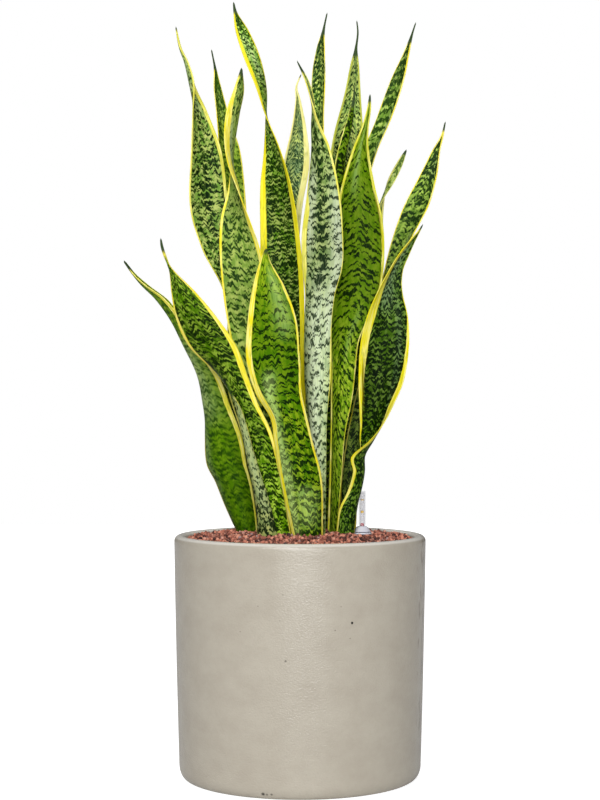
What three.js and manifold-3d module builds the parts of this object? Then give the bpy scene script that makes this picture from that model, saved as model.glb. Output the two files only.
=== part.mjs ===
// Potted laurentii snake plant: a glazed pot of clay granules with sword-shaped leaves and a water gauge.
// Millimetres, +Z up. The origin is on the floor under the middle of the pot, and the front faces -Y.
import * as THREE from 'three';
import { mergeVertices } from 'three/addons/utils/BufferGeometryUtils.js';
import Module from 'manifold-3d';

// Gaps
const gap = 0.3;

// Pot: the outer radius at the foot, at mid height and under the lip
const potHeight = 268;
const potFootRadius = 134.4;
const potMiddleRadius = 137.5;
const potLipRadius = 140;
const potMiddleHeight = 130;
const potWall = 13;
const potFloor = 14;
const footRoundWidth = 8;
const footRoundHeight = 14;
const potInsideFootRadius = 122;
const potInsideRound = 8;
const potSides = 40;

// Fill: the medium ends below the granules, which rise to a low dome
const mediumTop = 250;
const bedEdgeHeight = 264.5;
const bedDomeRise = 6;
const bedRings = 10;
const bedRelief = 1.3;

// Leaf blades
const footThickness = 5;
const upperThickness = 1.6;
const marginThickness = 1.2;
const pointsAcross = 5;
const ringsPerStation = 2;
const holeGrowth = 0.4;
const holeReach = 290;

// Water gauge, behind the right foot of the plant
const gaugeX = 70.2;
const gaugeY = 22;
const tubeRadius = 3.7;
const tubeBore = 2.7;
const tubeTop = 315.3;
const tubeBottom = 30;
const tubeCap = 1.5;
const gaugeFootRadius = 10.9;
const gaugeFootBottom = 266.2;
const gaugeFlangeTop = 269;
const gaugeFootTop = 275.8;
const floatRadius = 2.1;
const floatRodRadius = 0.9;
const floatBottom = 42;
const floatBodyTop = 95;
const floatBeadBottom = 273.5;
const floatBeadTop = 277.5;
const gaugeSides = 16;

// Each leaf is a list of stations [z, ax, ay, bx, by, sag]: at the height z one margin is at (ax, ay), the
// other at (bx, by), and the middle of the blade lies off the chord between them by the sag.
const leaves = [
  {
    name: 'leaf_front_middle', colour: 0x4f7f22, stations: [
      [235, 0, -26, 25, -28, -11], [272, -9, -30, 25, -31, -12], [330, -21, -37, 24, -41, -13],
      [372, -28, -43, 14, -48, -13], [398, -32, -48, 8, -53, -13], [425, -48, -55, 2, -59, -12],
      [462, -58, -65, 0, -68, -10], [505, -56, -78, -4, -80, -8], [540, -50, -89, -17, -90, -5],
      [564, -43, -96, -31, -96, -3], [579, -36.5, -100, -35.5, -100, -1],
    ],
  },
  {
    name: 'leaf_front_left', colour: 0x416f20, stations: [
      [235, -38, -14, -5, -22, -10], [272, -42, -16, -10, -24, -11], [330, -52, -20, -19, -32, -13],
      [380, -63, -24, -30, -42, -14], [415, -71, -30, -46, -50, -13], [445, -90, -38, -57, -56, -11],
      [475, -120, -47, -68, -60, -9], [505, -134, -56, -88, -64, -7], [535, -139, -64, -113, -68, -5],
      [560, -141, -70, -138, -71, -3], [573, -146.5, -73, -144, -73, -1.5],
      [583, -149.5, -75, -147, -75, -1], [592, -150, -77, -149, -77, -0.5],
    ],
  },
  {
    name: 'leaf_outer_left', colour: 0x4a7a24, stations: [
      [235, -52, 36, -45, 26, -9], [272, -73, 36, -48, 26, -10], [300, -86, 37, -51, 24, -11],
      [325, -96, 38, -55, 20, -12], [345, -106, 40, -60, 16, -12], [376, -108, 42, -65, 8, -13],
      [412, -107, 44, -78, 0, -15], [446, -111, 44, -91, -4, -14], [480, -122, 42, -115, -6, -13],
      [508, -134, 38, -132, -6, -12.5], [531, -149, 34, -151, -4, -12], [547, -170, 28, -173, 0, -6.5],
      [560, -185, 20, -187, 6, -2.5], [575, -197, 14, -198.5, 12, -1],
    ],
  },
  {
    name: 'leaf_scale', colour: 0x7c8f5a, stations: [
      [235, -45, -34, -20, -36, -5], [272, -46.5, -36, -25, -40, -6], [310, -49, -39, -34, -44, -5],
      [345, -56, -42, -45, -48, -4], [370, -61, -45, -52.5, -50, -2.5], [392, -65.5, -48, -58, -53, -2],
      [410, -69.5, -50, -64.5, -54, -1.5], [424, -73.5, -53, -72.5, -54, -0.5],
    ],
  },
  {
    name: 'leaf_tall_left', colour: 0x5d8440, stations: [
      [235, -42, 6, -21, 6, 7], [272, -46, 6, -25, 6, 8], [330, -54, 10.5, -30, 8, 9],
      [385, -67, 10, -36, 10, 10], [425, -80, 12, -41, 12, 10], [458, -84, 13, -46, 15, 9],
      [490, -82, 14, -52, 16, 9], [520, -82, 15, -58, 19, 9], [548, -89, 17, -64, 22, 8],
      [585, -109, 19, -73, 27, 8], [635, -124, 22, -81, 33, 8], [700, -123, 25, -89, 40, 7],
      [745, -121, 24, -105, 42, 6], [775, -119, 22, -119, 38, 6], [800, -126, 23, -126, 34, 4.5],
      [817, -135, 26, -134, 30, 2], [841, -141, 28, -140, 28.5, 0.5],
    ],
  },
  {
    name: 'leaf_back_left', colour: 0x66912c, stations: [
      [235, -48, 50, -22, 52, 7], [272, -56, 50, -26, 52, 8], [310, -63, 50, -30, 54, 8],
      [350, -73, 51, -36, 57, 8], [390, -83, 52, -42, 60, 8], [430, -92, 53, -47, 62, 8],
      [470, -84, 54, -50, 66, 8], [510, -76, 55, -53, 69, 8], [590, -84, 58, -59, 75, 7],
      [670, -90.5, 62, -64.5, 80, 6], [710, -93.5, 65, -70, 82, 5], [740, -95.5, 69, -80, 82, 4],
      [780, -99.5, 75, -91, 83, 3], [805, -99.5, 80, -97.5, 83, 1], [826, -103.5, 84, -102.5, 84, 0.5],
    ],
  },
  {
    name: 'leaf_folded_left', colour: 0x5f853f, stations: [
      [235, -26, -8, -8, -6, 7], [272, -33, -8, -11, -6, 8], [330, -43, -10, -16, -8, 9],
      [400, -59, -12, -23, -12, 10], [460, -72, -15, -28, -17, 10], [520, -83, -17, -33, -22, 9],
      [580, -89, -15, -43, -26, 8], [620, -88, -9, -57, -29, 8], [650, -81, -1, -69, -29, 7],
      [680, -77, 9, -80, -24, 4], [710, -73, 14, -84, -15, 3], [740, -68, 14, -82, -5, 3],
      [765, -63, 10, -74, 1, 2], [790, -65, 6, -66, 5, 0.5],
    ],
  },
  {
    name: 'leaf_tallest', colour: 0x3c6024, stations: [
      [235, -17, 13, 11, 11, 7], [272, -19, 13, 10, 11, 8], [340, -25, 14, 8, 11, 9],
      [410, -33, 16, 6, 10, 10], [480, -40, 18, 5, 8, 10], [550, -44, 20, 4, 7, 9],
      [610, -45, 24, -1.8, 5, 8], [660, -45, 28, -10.7, 1, 7], [700, -41, 31, -23.3, -3, 4],
      [735, -39, 33, -38, 2, 1.5], [770, -38, 30, -50, 9, 2], [805, -45, 25, -64, 15, 2],
      [835, -58, 22, -73, 18, 1.5], [855, -71, 20, -75, 19, 1], [867, -74.5, 20, -75.5, 20, 0.5],
    ],
  },
  {
    name: 'leaf_middle_back', colour: 0x5f8350, stations: [
      [235, -10, 32, 8, 34, 7], [272, -12, 32, 8, 34, 8], [350, -15, 34, 7, 37, 9],
      [430, -20, 36, 6, 40, 9], [510, -25, 36, 3, 43, 9], [590, -27, 37, -1, 46, 9],
      [640, -26, 38, 3, 47, 8], [690, -18, 40, 11, 48, 7], [730, -9, 43, 7, 49, 5],
      [762, -4.5, 46, 0.5, 49, 3], [776, -4.5, 48, -3, 49, 1], [791, 1, 49, 2, 49, 0.5],
    ],
  },
  {
    name: 'leaf_pale_middle', colour: 0x93ad78, stations: [
      [235, 14, -12, 28, -16, -5], [272, 13, -12, 28, -16, -6], [340, 11, -8, 29, -18, -7],
      [400, 9.5, -5, 30, -18, -8], [440, 5.5, -3, 34, -17, -8], [500, 5, -3, 35, -15, -9],
      [535, 6, -2, 39, -13, -8], [565, 3, -2, 47, -11, -8], [600, 2, 0, 48, -8, -8],
      [650, 8, 8, 44, -5, -6], [700, 13, 16, 33, -4, -4], [730, 13, 17, 20, -3, -2],
      [752, 16, 15, 13, 0, -1.5], [775, 10.5, 12, 6, 6, -1], [799, -3, 10, -3.5, 9, -0.5],
    ],
  },
  {
    name: 'leaf_back_middle', colour: 0x55793a, stations: [
      [235, 5, 52, 27, 50, 6], [272, 5, 53, 28, 49, 7], [350, 5, 58, 29, 49, 8],
      [430, 6, 64, 30, 51, 8], [510, 8, 69, 31, 54, 8], [590, 10, 73, 30, 58, 7],
      [670, 12, 76, 28, 60, 6], [740, 14.5, 78, 27, 63, 4.5], [790, 13.5, 77, 29, 67, 4],
      [825, 19, 76, 28.5, 71, 2], [847, 26, 75, 28.5, 74, 1], [867, 31, 76, 32, 76, 0.5],
    ],
  },
  {
    name: 'leaf_back_right', colour: 0x688c46, stations: [
      [235, 27, 61, 48, 63, 6], [272, 28, 61, 50, 63, 7], [350, 29, 63, 55, 70, 8],
      [430, 30, 66, 60, 76, 8], [510, 30, 69, 65, 82, 8], [590, 30, 73, 69, 87, 8],
      [660, 31, 78, 72, 90, 7], [720, 38, 84, 74, 92, 6], [775, 52, 90, 71, 94, 4],
      [810, 59, 94, 69, 95, 2], [829, 64, 97, 67, 97, 1], [848, 67, 99, 68.5, 99, 0.7],
      [863, 66, 100, 67, 100, 0.5],
    ],
  },
  {
    name: 'leaf_narrow_right', colour: 0x36601c, stations: [
      [235, 18, 34, 37, 36, 6], [272, 20, 34, 39, 36, 6], [350, 23, 36, 42, 42, 4],
      [430, 25, 40, 45, 48, 2], [510, 28, 46, 46, 58, -2], [590, 31, 52, 46, 68, -5],
      [650, 35, 56, 46, 74, -7], [700, 42, 60, 49, 78, -7], [735, 52, 66, 57, 78, -5],
      [758, 59, 71, 61.5, 76, -2], [775, 62, 74, 63, 75, -0.7], [784, 62, 76, 63, 76, -0.5],
    ],
  },
  {
    name: 'leaf_broad_right', colour: 0x4f851e, stations: [
      [235, 31, 8, 38, 22, 4], [272, 32, 8, 42, 22, 4], [330, 34, 8, 47, 21, 6],
      [380, 35, 8, 51, 21, 7], [420, 35, 8, 59, 21, 8], [455, 35, 8, 63, 21, 9],
      [485, 34, 8, 67, 21, 9], [515, 34, 8, 80, 20, 9], [545, 35, 8, 91, 19, 9],
      [580, 37, 8, 95, 18, 9], [620, 41, 10, 93, 16, 8], [660, 47, 14, 84, 16, 7],
      [700, 59, 19, 77, 15, 5], [725, 69, 21, 77, 17, 3], [745, 75, 21, 79.5, 19, 2],
      [763, 78.5, 20, 79.5, 20, 0.5],
    ],
  },
  {
    name: 'leaf_tall_right', colour: 0x4c742a, stations: [
      [235, 45, 52, 63, 50, 6], [272, 45, 53, 64, 50, 7], [350, 45, 59, 67, 50, 8],
      [430, 46, 66, 69, 51, 8], [510, 48, 71, 70, 52, 8], [590, 52, 75, 71, 54, 7],
      [650, 59, 78, 75, 57, 6], [700, 71, 83, 87, 63, 5], [745, 88.5, 90, 106, 74, 4],
      [790, 105, 97, 121, 88, 3], [825, 121, 104, 128, 99, 2], [848, 130.5, 107, 132.5, 106, 1],
      [863, 136, 110, 137, 110, 0.5],
    ],
  },
  {
    name: 'leaf_small_right', colour: 0x587f38, stations: [
      [235, 44, 72, 58, 74, 4], [272, 47, 72, 61, 74, 5], [350, 52, 74, 66, 80, 5],
      [430, 61, 78, 75, 88, 5], [510, 70, 84, 84, 98, 5], [570, 78, 90, 91, 106, 5],
      [615, 85, 94, 97, 111, 4], [648, 95, 99, 99, 113, 3], [675, 111.5, 108, 103, 114, 2],
      [697, 121.7, 114, 113.5, 115, 1], [714, 126.5, 116, 125, 116, 0.5],
    ],
  },
  {
    name: 'leaf_outer_right', colour: 0x4a7226, stations: [
      [235, 43, 32, 57, 32, 6], [272, 44, 33, 61, 31, 6], [330, 47, 38, 66, 32, 6],
      [390, 56, 43, 77, 34, 6], [450, 70, 47, 90, 36, 6], [510, 84, 52, 99, 38, 6],
      [560, 95, 57, 108, 41, 6], [600, 105, 61, 126, 45, 6], [640, 119, 63, 147, 49, 5],
      [675, 137, 65, 157, 54, 4], [705, 152, 65, 161, 60, 3], [722, 162, 64, 165, 63, 1],
      [739, 167, 64, 168, 64, 0.5],
    ],
  },
  {
    name: 'leaf_twisted_right', colour: 0x2f4e1c, stations: [
      [235, 38, 8, 58, 10, -6], [272, 41, 8, 61, 10, -6], [296, 44, 5, 64, 12, -6],
      [316, 53, 0, 67.7, 15, -6], [338, 59, -8, 70, 16, -6], [355, 57, -14, 69, 14, -8],
      [372, 76, -18, 67, 10, -9], [390, 91, -20, 67, 4, -10], [412, 103, -20, 66, -3, -10],
      [440, 115, -18, 65, -9, -10], [480, 121, -14, 67, -14, -9], [510, 120, -10, 74, -17, -9],
      [540, 114, -5, 87, -19, -8], [562, 115, -2, 99, -18, -6], [580, 122, -2, 110, -16, -4],
      [596, 129, -3, 123, -12, -2.5], [607, 134.5, -5, 132.5, -7, -1],
      [614, 137.5, -6, 136.5, -6, -0.5],
    ],
  },
];

// Joins and cuts
const wasm = await Module();
wasm.setup();

function solidOf(geometry) {
  const plain = geometry.clone();
  plain.deleteAttribute('normal');
  plain.deleteAttribute('uv');
  const merged = mergeVertices(plain, 1e-4);
  const vertProperties = new Float32Array(merged.attributes.position.array);
  const triVerts = new Uint32Array(merged.index.array);
  return new wasm.Manifold(new wasm.Mesh({ numProp: 3, vertProperties, triVerts }));
}

function geometryOf(solid) {
  const mesh = solid.getMesh();
  const geometry = new THREE.BufferGeometry();
  geometry.setAttribute('position', new THREE.BufferAttribute(mesh.vertProperties, 3));
  geometry.setIndex(new THREE.BufferAttribute(mesh.triVerts, 1));
  geometry.computeVertexNormals();
  return geometry;
}

// Shapes turned about the upright axis, from a profile of [radius, height] points
function turned(profile, sides) {
  const points = profile.map(([radius, height]) => new THREE.Vector2(radius, height));
  return new THREE.LatheGeometry(points, sides).rotateX(Math.PI / 2);
}

function turnedAt(profile, sides, x, y) {
  return turned(profile, sides).translate(x, y, 0);
}

// Points on an arc of an ellipse about (cx, cz), from one angle to another in degrees
function arc(cx, cz, width, height, from, to, steps) {
  const points = [];
  for (let i = 0; i <= steps; i++) {
    const angle = THREE.MathUtils.degToRad(from + ((to - from) * i) / steps);
    points.push([cx + width * Math.cos(angle), cz + height * Math.sin(angle)]);
  }
  return points;
}

// Pot
const lipRound = potWall / 2;
const lipHeight = potHeight - lipRound;
const potInsideLipRadius = potLipRadius - potWall;

function insideRadius(z) {
  return THREE.MathUtils.mapLinear(z, potFloor, lipHeight, potInsideFootRadius, potInsideLipRadius);
}

function potProfile() {
  return [
    [0, 0],
    ...arc(potFootRadius - footRoundWidth, footRoundHeight, footRoundWidth, footRoundHeight, -90, 0, 5),
    [potMiddleRadius, potMiddleHeight],
    ...arc(potLipRadius - lipRound, lipHeight, lipRound, lipRound, 0, 180, 8),
    ...arc(potInsideFootRadius - potInsideRound, potFloor + potInsideRound, potInsideRound, potInsideRound,
      0, -90, 3),
    [0, potFloor],
  ];
}

// One ring of a blade, front points from margin a to margin b and then the back points in return. With
// growth the ring is that much larger all round.
function bladeRing([z, ax, ay, bx, by, sag], halfMiddle, halfMargin, growth) {
  const chord = Math.hypot(bx - ax, by - ay);
  const hx = (bx - ax) / 2;
  const hy = (by - ay) / 2;
  const middleX = (ax + bx) / 2;
  const middleY = (ay + by) / 2;
  const nx = (-2 * hy) / chord;
  const ny = (2 * hx) / chord;
  const front = [];
  const back = [];
  for (let j = 0; j < pointsAcross; j++) {
    const s = -1 + (2 * j) / (pointsAcross - 1);
    const bow = sag * (1 - s * s);
    const tx = hx - 2 * nx * sag * s;
    const ty = hy - 2 * ny * sag * s;
    const length = Math.hypot(tx, ty);
    const beyond = Math.abs(s) === 1 ? (s * growth) / length : 0;
    const px = middleX + s * hx + nx * bow + beyond * tx;
    const py = middleY + s * hy + ny * bow + beyond * ty;
    const half = halfMargin + (halfMiddle - halfMargin) * (1 - s * s) + growth;
    front.push([px + (ty / length) * half, py - (tx / length) * half, z]);
    back.unshift([px - (ty / length) * half, py + (tx / length) * half, z]);
  }
  return [...front, ...back];
}

// Stations joined by cubic curves whose slopes come from the neighbouring stations
function stationsBetween(stations) {
  const slopes = stations.map((station, i) => {
    const before = stations[Math.max(i - 1, 0)];
    const after = stations[Math.min(i + 1, stations.length - 1)];
    return station.map((_, k) => (after[k] - before[k]) / (after[0] - before[0]));
  });
  const rows = [];
  for (let i = 0; i < stations.length - 1; i++) {
    const from = stations[i];
    const to = stations[i + 1];
    const height = to[0] - from[0];
    for (let step = 0; step < ringsPerStation; step++) {
      const t = step / ringsPerStation;
      const a = 2 * t ** 3 - 3 * t ** 2 + 1;
      const b = (t ** 3 - 2 * t ** 2 + t) * height;
      const c = -2 * t ** 3 + 3 * t ** 2;
      const d = (t ** 3 - t ** 2) * height;
      rows.push(from.map((value, k) => a * value + b * slopes[i][k] + c * to[k] + d * slopes[i + 1][k]));
    }
  }
  rows.push(stations[stations.length - 1]);
  return rows;
}

// The half thickness at the middle falls from the foot to half length and stays under a third of the width
function halfThickness(row, share) {
  const thickness = THREE.MathUtils.lerp(footThickness, upperThickness, Math.min(1, 2 * share));
  const chord = Math.hypot(row[3] - row[1], row[4] - row[2]);
  return Math.max(Math.min(thickness / 2, chord / 3), marginThickness / 2);
}

// A closed skin over rings of points, split alike on the front and back faces
function skin(rings) {
  const count = rings[0].length;
  const half = count / 2;
  const index = [];
  for (let i = 0; i < rings.length - 1; i++) {
    for (let j = 0; j < count; j++) {
      const next = (j + 1) % count;
      const [a, b, c, d] = [i * count + j, i * count + next, (i + 1) * count + next, (i + 1) * count + j];
      if (j < half) index.push(a, b, c, a, c, d);
      else index.push(a, b, d, b, c, d);
    }
  }
  const top = (rings.length - 1) * count;
  for (let j = 0; j < half - 1; j++) {
    const [a, b, c, d] = [j, j + 1, count - 2 - j, count - 1 - j];
    index.push(c, b, a, d, c, a);
    index.push(top + a, top + b, top + c, top + a, top + c, top + d);
  }
  const geometry = new THREE.BufferGeometry();
  geometry.setAttribute('position', new THREE.Float32BufferAttribute(rings.flat(2), 3));
  geometry.setIndex(index);
  geometry.computeVertexNormals();
  return geometry;
}

function bladeGeometry(stations) {
  const rows = stationsBetween(stations);
  const rings = rows.map((row, i) =>
    bladeRing(row, halfThickness(row, i / (rows.length - 1)), marginThickness / 2, 0));
  return skin(rings);
}

// The hole that a leaf's foot stands in: the foot, a little larger all round and carried up past the bed
function holeGeometry(stations) {
  const rows = stationsBetween(stations);
  const share = (i) => i / (rows.length - 1);
  const rings = rows
    .map((row, i) => bladeRing(row, halfThickness(row, share(i)), marginThickness / 2, holeGrowth))
    .filter((ring) => ring[0][2] < holeReach);
  rings[0] = rings[0].map(([x, y, z]) => [x, y, z - gap]);
  return skin(rings);
}

// Fill
const tubeHoleRadius = tubeRadius + holeGrowth;
const leafHoles = leaves.map(({ stations }) => solidOf(holeGeometry(stations)));
const tubeHole = solidOf(turnedAt(
  [[0, tubeBottom - gap], [tubeHoleRadius, tubeBottom - gap], [tubeHoleRadius, holeReach], [0, holeReach]],
  gaugeSides, gaugeX, gaugeY));
const footRecess = solidOf(turnedAt(
  [[0, gaugeFootBottom - gap], [gaugeFootRadius + gap, gaugeFootBottom - gap],
    [gaugeFootRadius + gap, holeReach], [0, holeReach]],
  gaugeSides, gaugeX, gaugeY));

function withHoles(geometry, holes) {
  return geometryOf(holes.reduce((solid, hole) => solid.subtract(hole), solidOf(geometry)));
}

function mediumGeometry() {
  const bottom = potFloor + gap;
  const top = mediumTop - gap / 2;
  const side = arc(potInsideFootRadius - potInsideRound, bottom + potInsideRound,
    potInsideRound - gap, potInsideRound, -90, 0, 3);
  const profile = [[0, bottom], ...side, [insideRadius(top) - gap, top], [0, top]];
  return withHoles(turned(profile, potSides), [...leafHoles, tubeHole]);
}

// The granules stand up and down by turns over the rings and spokes of a low dome
function bedHeight(ring, spoke) {
  const share = ring / bedRings;
  const relief = ring === 0 || ring === bedRings ? 0 : bedRelief * Math.cos(Math.PI * (ring + spoke));
  return bedEdgeHeight + bedDomeRise * (1 - share * share) + relief;
}

function bedGeometry() {
  const radius = insideRadius(bedEdgeHeight) - gap;
  const bottom = mediumTop + gap / 2;
  const bottomRadius = insideRadius(bottom) - gap;
  const points = [[0, 0, bedHeight(0, 0)]];
  const index = [];
  for (let ring = 1; ring <= bedRings + 1; ring++) {
    const under = ring > bedRings;
    const r = under ? bottomRadius : (radius * ring) / bedRings;
    for (let spoke = 0; spoke < potSides; spoke++) {
      const angle = (2 * Math.PI * spoke) / potSides;
      const z = under ? bottom : bedHeight(ring, spoke);
      points.push([r * Math.cos(angle), r * Math.sin(angle), z]);
    }
  }
  points.push([0, 0, bottom]);
  const last = points.length - 1;
  for (let spoke = 0; spoke < potSides; spoke++) {
    const next = (spoke + 1) % potSides;
    index.push(0, 1 + spoke, 1 + next);
    for (let ring = 0; ring < bedRings; ring++) {
      const near = 1 + ring * potSides;
      const far = near + potSides;
      index.push(near + spoke, far + spoke, far + next, near + spoke, far + next, near + next);
    }
    const rim = 1 + bedRings * potSides;
    index.push(rim + spoke, last, rim + next);
  }
  const geometry = new THREE.BufferGeometry();
  geometry.setAttribute('position', new THREE.Float32BufferAttribute(points.flat(), 3));
  geometry.setIndex(index);
  return withHoles(geometry, [...leafHoles, tubeHole, footRecess]);
}

// Water gauge
function tubeProfile() {
  const ceiling = tubeTop - tubeCap;
  return [[0, ceiling], [tubeBore, ceiling], [tubeBore, tubeBottom],
    [tubeRadius, tubeBottom], [tubeRadius, tubeTop], [0, tubeTop]];
}

function gaugeFootProfile() {
  const bore = tubeRadius + holeGrowth;
  const collar = bore + 1;
  const edge = (gaugeFlangeTop - gaugeFootBottom) / 2;
  const domeWidth = gaugeFootRadius - collar;
  const domeHeight = gaugeFootTop - gaugeFlangeTop;
  return [
    [bore, gaugeFootBottom],
    ...arc(gaugeFootRadius - edge, gaugeFootBottom + edge, edge, edge, -90, 60, 3),
    ...arc(gaugeFootRadius, gaugeFootTop, domeWidth, domeHeight, -110, -180, 3),
    [bore, gaugeFootTop],
    [bore, gaugeFootBottom],
  ];
}

function floatProfile() {
  const beadMiddle = (floatBeadBottom + floatBeadTop) / 2;
  const beadHalf = (floatBeadTop - floatBeadBottom) / 2;
  return [
    [0, floatBottom],
    [floatRadius, floatBottom + floatRadius],
    [floatRadius, floatBodyTop - floatRadius],
    [floatRodRadius, floatBodyTop],
    [floatRodRadius, floatBeadBottom],
    ...arc(0, beadMiddle, floatRadius, beadHalf, -50, 60, 4),
    [0, floatBeadTop],
  ];
}

// Finishes
function finish(color, roughness, metalness = 0) {
  return new THREE.MeshStandardMaterial({ color, roughness, metalness });
}

const glaze = finish(0xbeb6a5, 0.3);
const clay = finish(0xb4705a, 0.9);
const soil = finish(0x6b4336, 0.95);
const clearPlastic = new THREE.MeshStandardMaterial({
  color: 0xe6e8e8, roughness: 0.1, transparent: true, opacity: 0.4,
});
const greyPlastic = finish(0x9a9ea2, 0.35);
const redPlastic = finish(0xb8321e, 0.4);

// Assembly
const plant = new THREE.Group();

function place(name, geometry, material) {
  const mesh = new THREE.Mesh(geometry, material);
  mesh.name = name;
  plant.add(mesh);
}

place('pot', turned(potProfile(), potSides), glaze);
place('growing_medium', mediumGeometry(), soil);
place('clay_granules', bedGeometry(), clay);
for (const { name, colour, stations } of leaves) {
  place(name, bladeGeometry(stations), finish(colour, 0.45));
}
place('gauge_tube', turnedAt(tubeProfile(), gaugeSides, gaugeX, gaugeY), clearPlastic);
place('gauge_foot', turnedAt(gaugeFootProfile(), gaugeSides, gaugeX, gaugeY), greyPlastic);
place('gauge_float', turnedAt(floatProfile(), gaugeSides, gaugeX, gaugeY), redPlastic);

export default plant;
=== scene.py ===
import bpy
import numpy as np
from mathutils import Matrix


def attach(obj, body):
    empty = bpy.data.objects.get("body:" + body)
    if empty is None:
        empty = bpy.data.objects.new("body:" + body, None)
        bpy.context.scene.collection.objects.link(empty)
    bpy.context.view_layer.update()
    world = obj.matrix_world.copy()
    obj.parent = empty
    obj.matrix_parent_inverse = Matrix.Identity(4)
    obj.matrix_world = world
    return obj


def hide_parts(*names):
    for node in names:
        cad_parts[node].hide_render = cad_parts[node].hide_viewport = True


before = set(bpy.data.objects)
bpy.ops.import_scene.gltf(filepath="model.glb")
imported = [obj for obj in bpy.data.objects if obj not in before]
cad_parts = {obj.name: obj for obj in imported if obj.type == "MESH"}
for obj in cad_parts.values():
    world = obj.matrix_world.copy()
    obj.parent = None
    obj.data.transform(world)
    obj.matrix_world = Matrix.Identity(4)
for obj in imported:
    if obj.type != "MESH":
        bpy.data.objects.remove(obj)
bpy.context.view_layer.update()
print("frame loaded,", len(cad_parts), "nodes")

mm = 0.001  # the numbers below are millimetres
randomDraw = np.random.default_rng(7)


# Small tools

def linearColour(hexText):
    # sRGB hex to the linear values that Blender's sockets take
    srgb = np.array([int(hexText[i:i + 2], 16) for i in (1, 3, 5)]) / 255
    linear = np.where(srgb <= 0.04045, srgb / 12.92, ((srgb + 0.055) / 1.055) ** 2.4)
    return (*linear, 1.0)


def addNode(tree, kind, *values, inputs=None, output=None, **settings):
    # a shader node with its settings. values go in order to the inputs in use, inputs to the named ones,
    # each a plain value or another node's output. The output asked for comes back, or the first in use
    node = tree.nodes.new("ShaderNode" + kind)
    for name, setting in settings.items():
        setattr(node, name, setting)
    inUse = [socket for socket in node.inputs if socket.enabled]
    named = [(node.inputs[name], value) for name, value in (inputs or {}).items()]
    for socket, value in [*zip(inUse, values), *named]:
        if isinstance(value, bpy.types.NodeSocket):
            tree.links.new(value, socket)
        else:
            socket.default_value = value
    if output:
        return node.outputs[output]
    return next((socket for socket in node.outputs if socket.enabled), None)


def newMaterial(name, constants):
    # the constants go on the shader's own sockets
    material = bpy.data.materials.new(name)
    material.use_nodes = True
    tree = material.node_tree
    tree.nodes.clear()
    surface = addNode(tree, "BsdfPrincipled", inputs=constants)
    addNode(tree, "OutputMaterial", surface)
    return material, tree, surface.node.inputs


def addPiece(name, vertices, faces, material, attributes=None):
    # vertices in millimetres; faces is a list of index arrays, each with rows of 3 or 4 corners
    mesh = bpy.data.meshes.new(name)
    corners = np.concatenate([part.ravel() for part in faces])
    sizes = np.concatenate([np.full(len(part), part.shape[1]) for part in faces])
    mesh.vertices.add(len(vertices))
    mesh.vertices.foreach_set("co", (np.asarray(vertices) * mm).astype(np.float32).ravel())
    mesh.loops.add(len(corners))
    mesh.loops.foreach_set("vertex_index", corners.astype(np.int32))
    mesh.polygons.add(len(sizes))
    mesh.polygons.foreach_set("loop_start", np.concatenate([[0], np.cumsum(sizes)[:-1]]).astype(np.int32))
    mesh.polygons.foreach_set("use_smooth", np.ones(len(sizes), bool))
    for key, values in (attributes or {}).items():
        layer = mesh.attributes.new(key, "FLOAT", "POINT")
        layer.data.foreach_set("value", np.asarray(values, np.float32).ravel())
    mesh.update()
    mesh.validate()
    piece = bpy.data.objects.new(name, mesh)
    bpy.context.scene.collection.objects.link(piece)
    piece.data.materials.append(material)
    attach(piece, "root")
    return piece


def loopFaces(rows, columns):
    # quads over rows of points, each row a closed loop
    across = np.arange(columns)
    up = np.arange(rows - 1)[:, None]
    a = up * columns + across
    b = up * columns + (across + 1) % columns
    return np.stack([a, b, b + columns, a + columns], -1).reshape(-1, 4)


def turnedPoints(profile, sides):
    # point(k, angle) = (radius(k) * cos(angle), radius(k) * sin(angle), height(k))
    angle = np.arange(sides) * 2 * np.pi / sides
    ring = np.stack([np.cos(angle), np.sin(angle)], -1)
    return np.concatenate([profile[:, None, :1] * ring, np.repeat(profile[:, None, 1:], sides, 1)], -1)


def turnedSurface(profile, sides):
    # a profile of (radius, height) carried round the upright axis; both its ends lie on the axis
    profile = np.asarray(profile, float)
    inner = profile[1:-1]
    body = turnedPoints(inner, sides).reshape(-1, 3)
    vertices = np.concatenate([[[0, 0, profile[0, 1]]], body, [[0, 0, profile[-1, 1]]]])
    faces = loopFaces(len(inner), sides) + 1
    here = np.arange(sides)
    there = (here + 1) % sides
    top = 1 + (len(inner) - 1) * sides
    low = np.stack([np.zeros_like(here), there + 1, here + 1], -1)
    high = np.stack([np.full_like(here, len(vertices) - 1), top + here, top + there], -1)
    return vertices, [faces, low, high]


def ringSurface(profile, sides):
    # a closed profile of (radius, height) carried round the upright axis, with no end on the axis
    points = turnedPoints(np.asarray(profile, float), sides).reshape(-1, 3)
    return points, [loopFaces(len(profile) + 1, sides) % len(points)]


def arcPoints(centre, width, height, start, end, steps):
    # points on an ellipse's arc, angles in degrees
    angle = np.radians(np.linspace(start, end, steps + 1))
    return np.stack([centre[0] + width * np.cos(angle), centre[1] + height * np.sin(angle)], -1)


# Leaves

# rowStep is the rows' distance, thinFrom the share of the stations where the upper thickness is reached,
# and half the thickness stays under widthShare of half the width
leafBlade = dict(rowStep=2.5, columns=22, footThickness=5, upperThickness=1.6, marginThickness=1.2,
                 thinFrom=0.5, widthShare=2 / 3)

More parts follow.
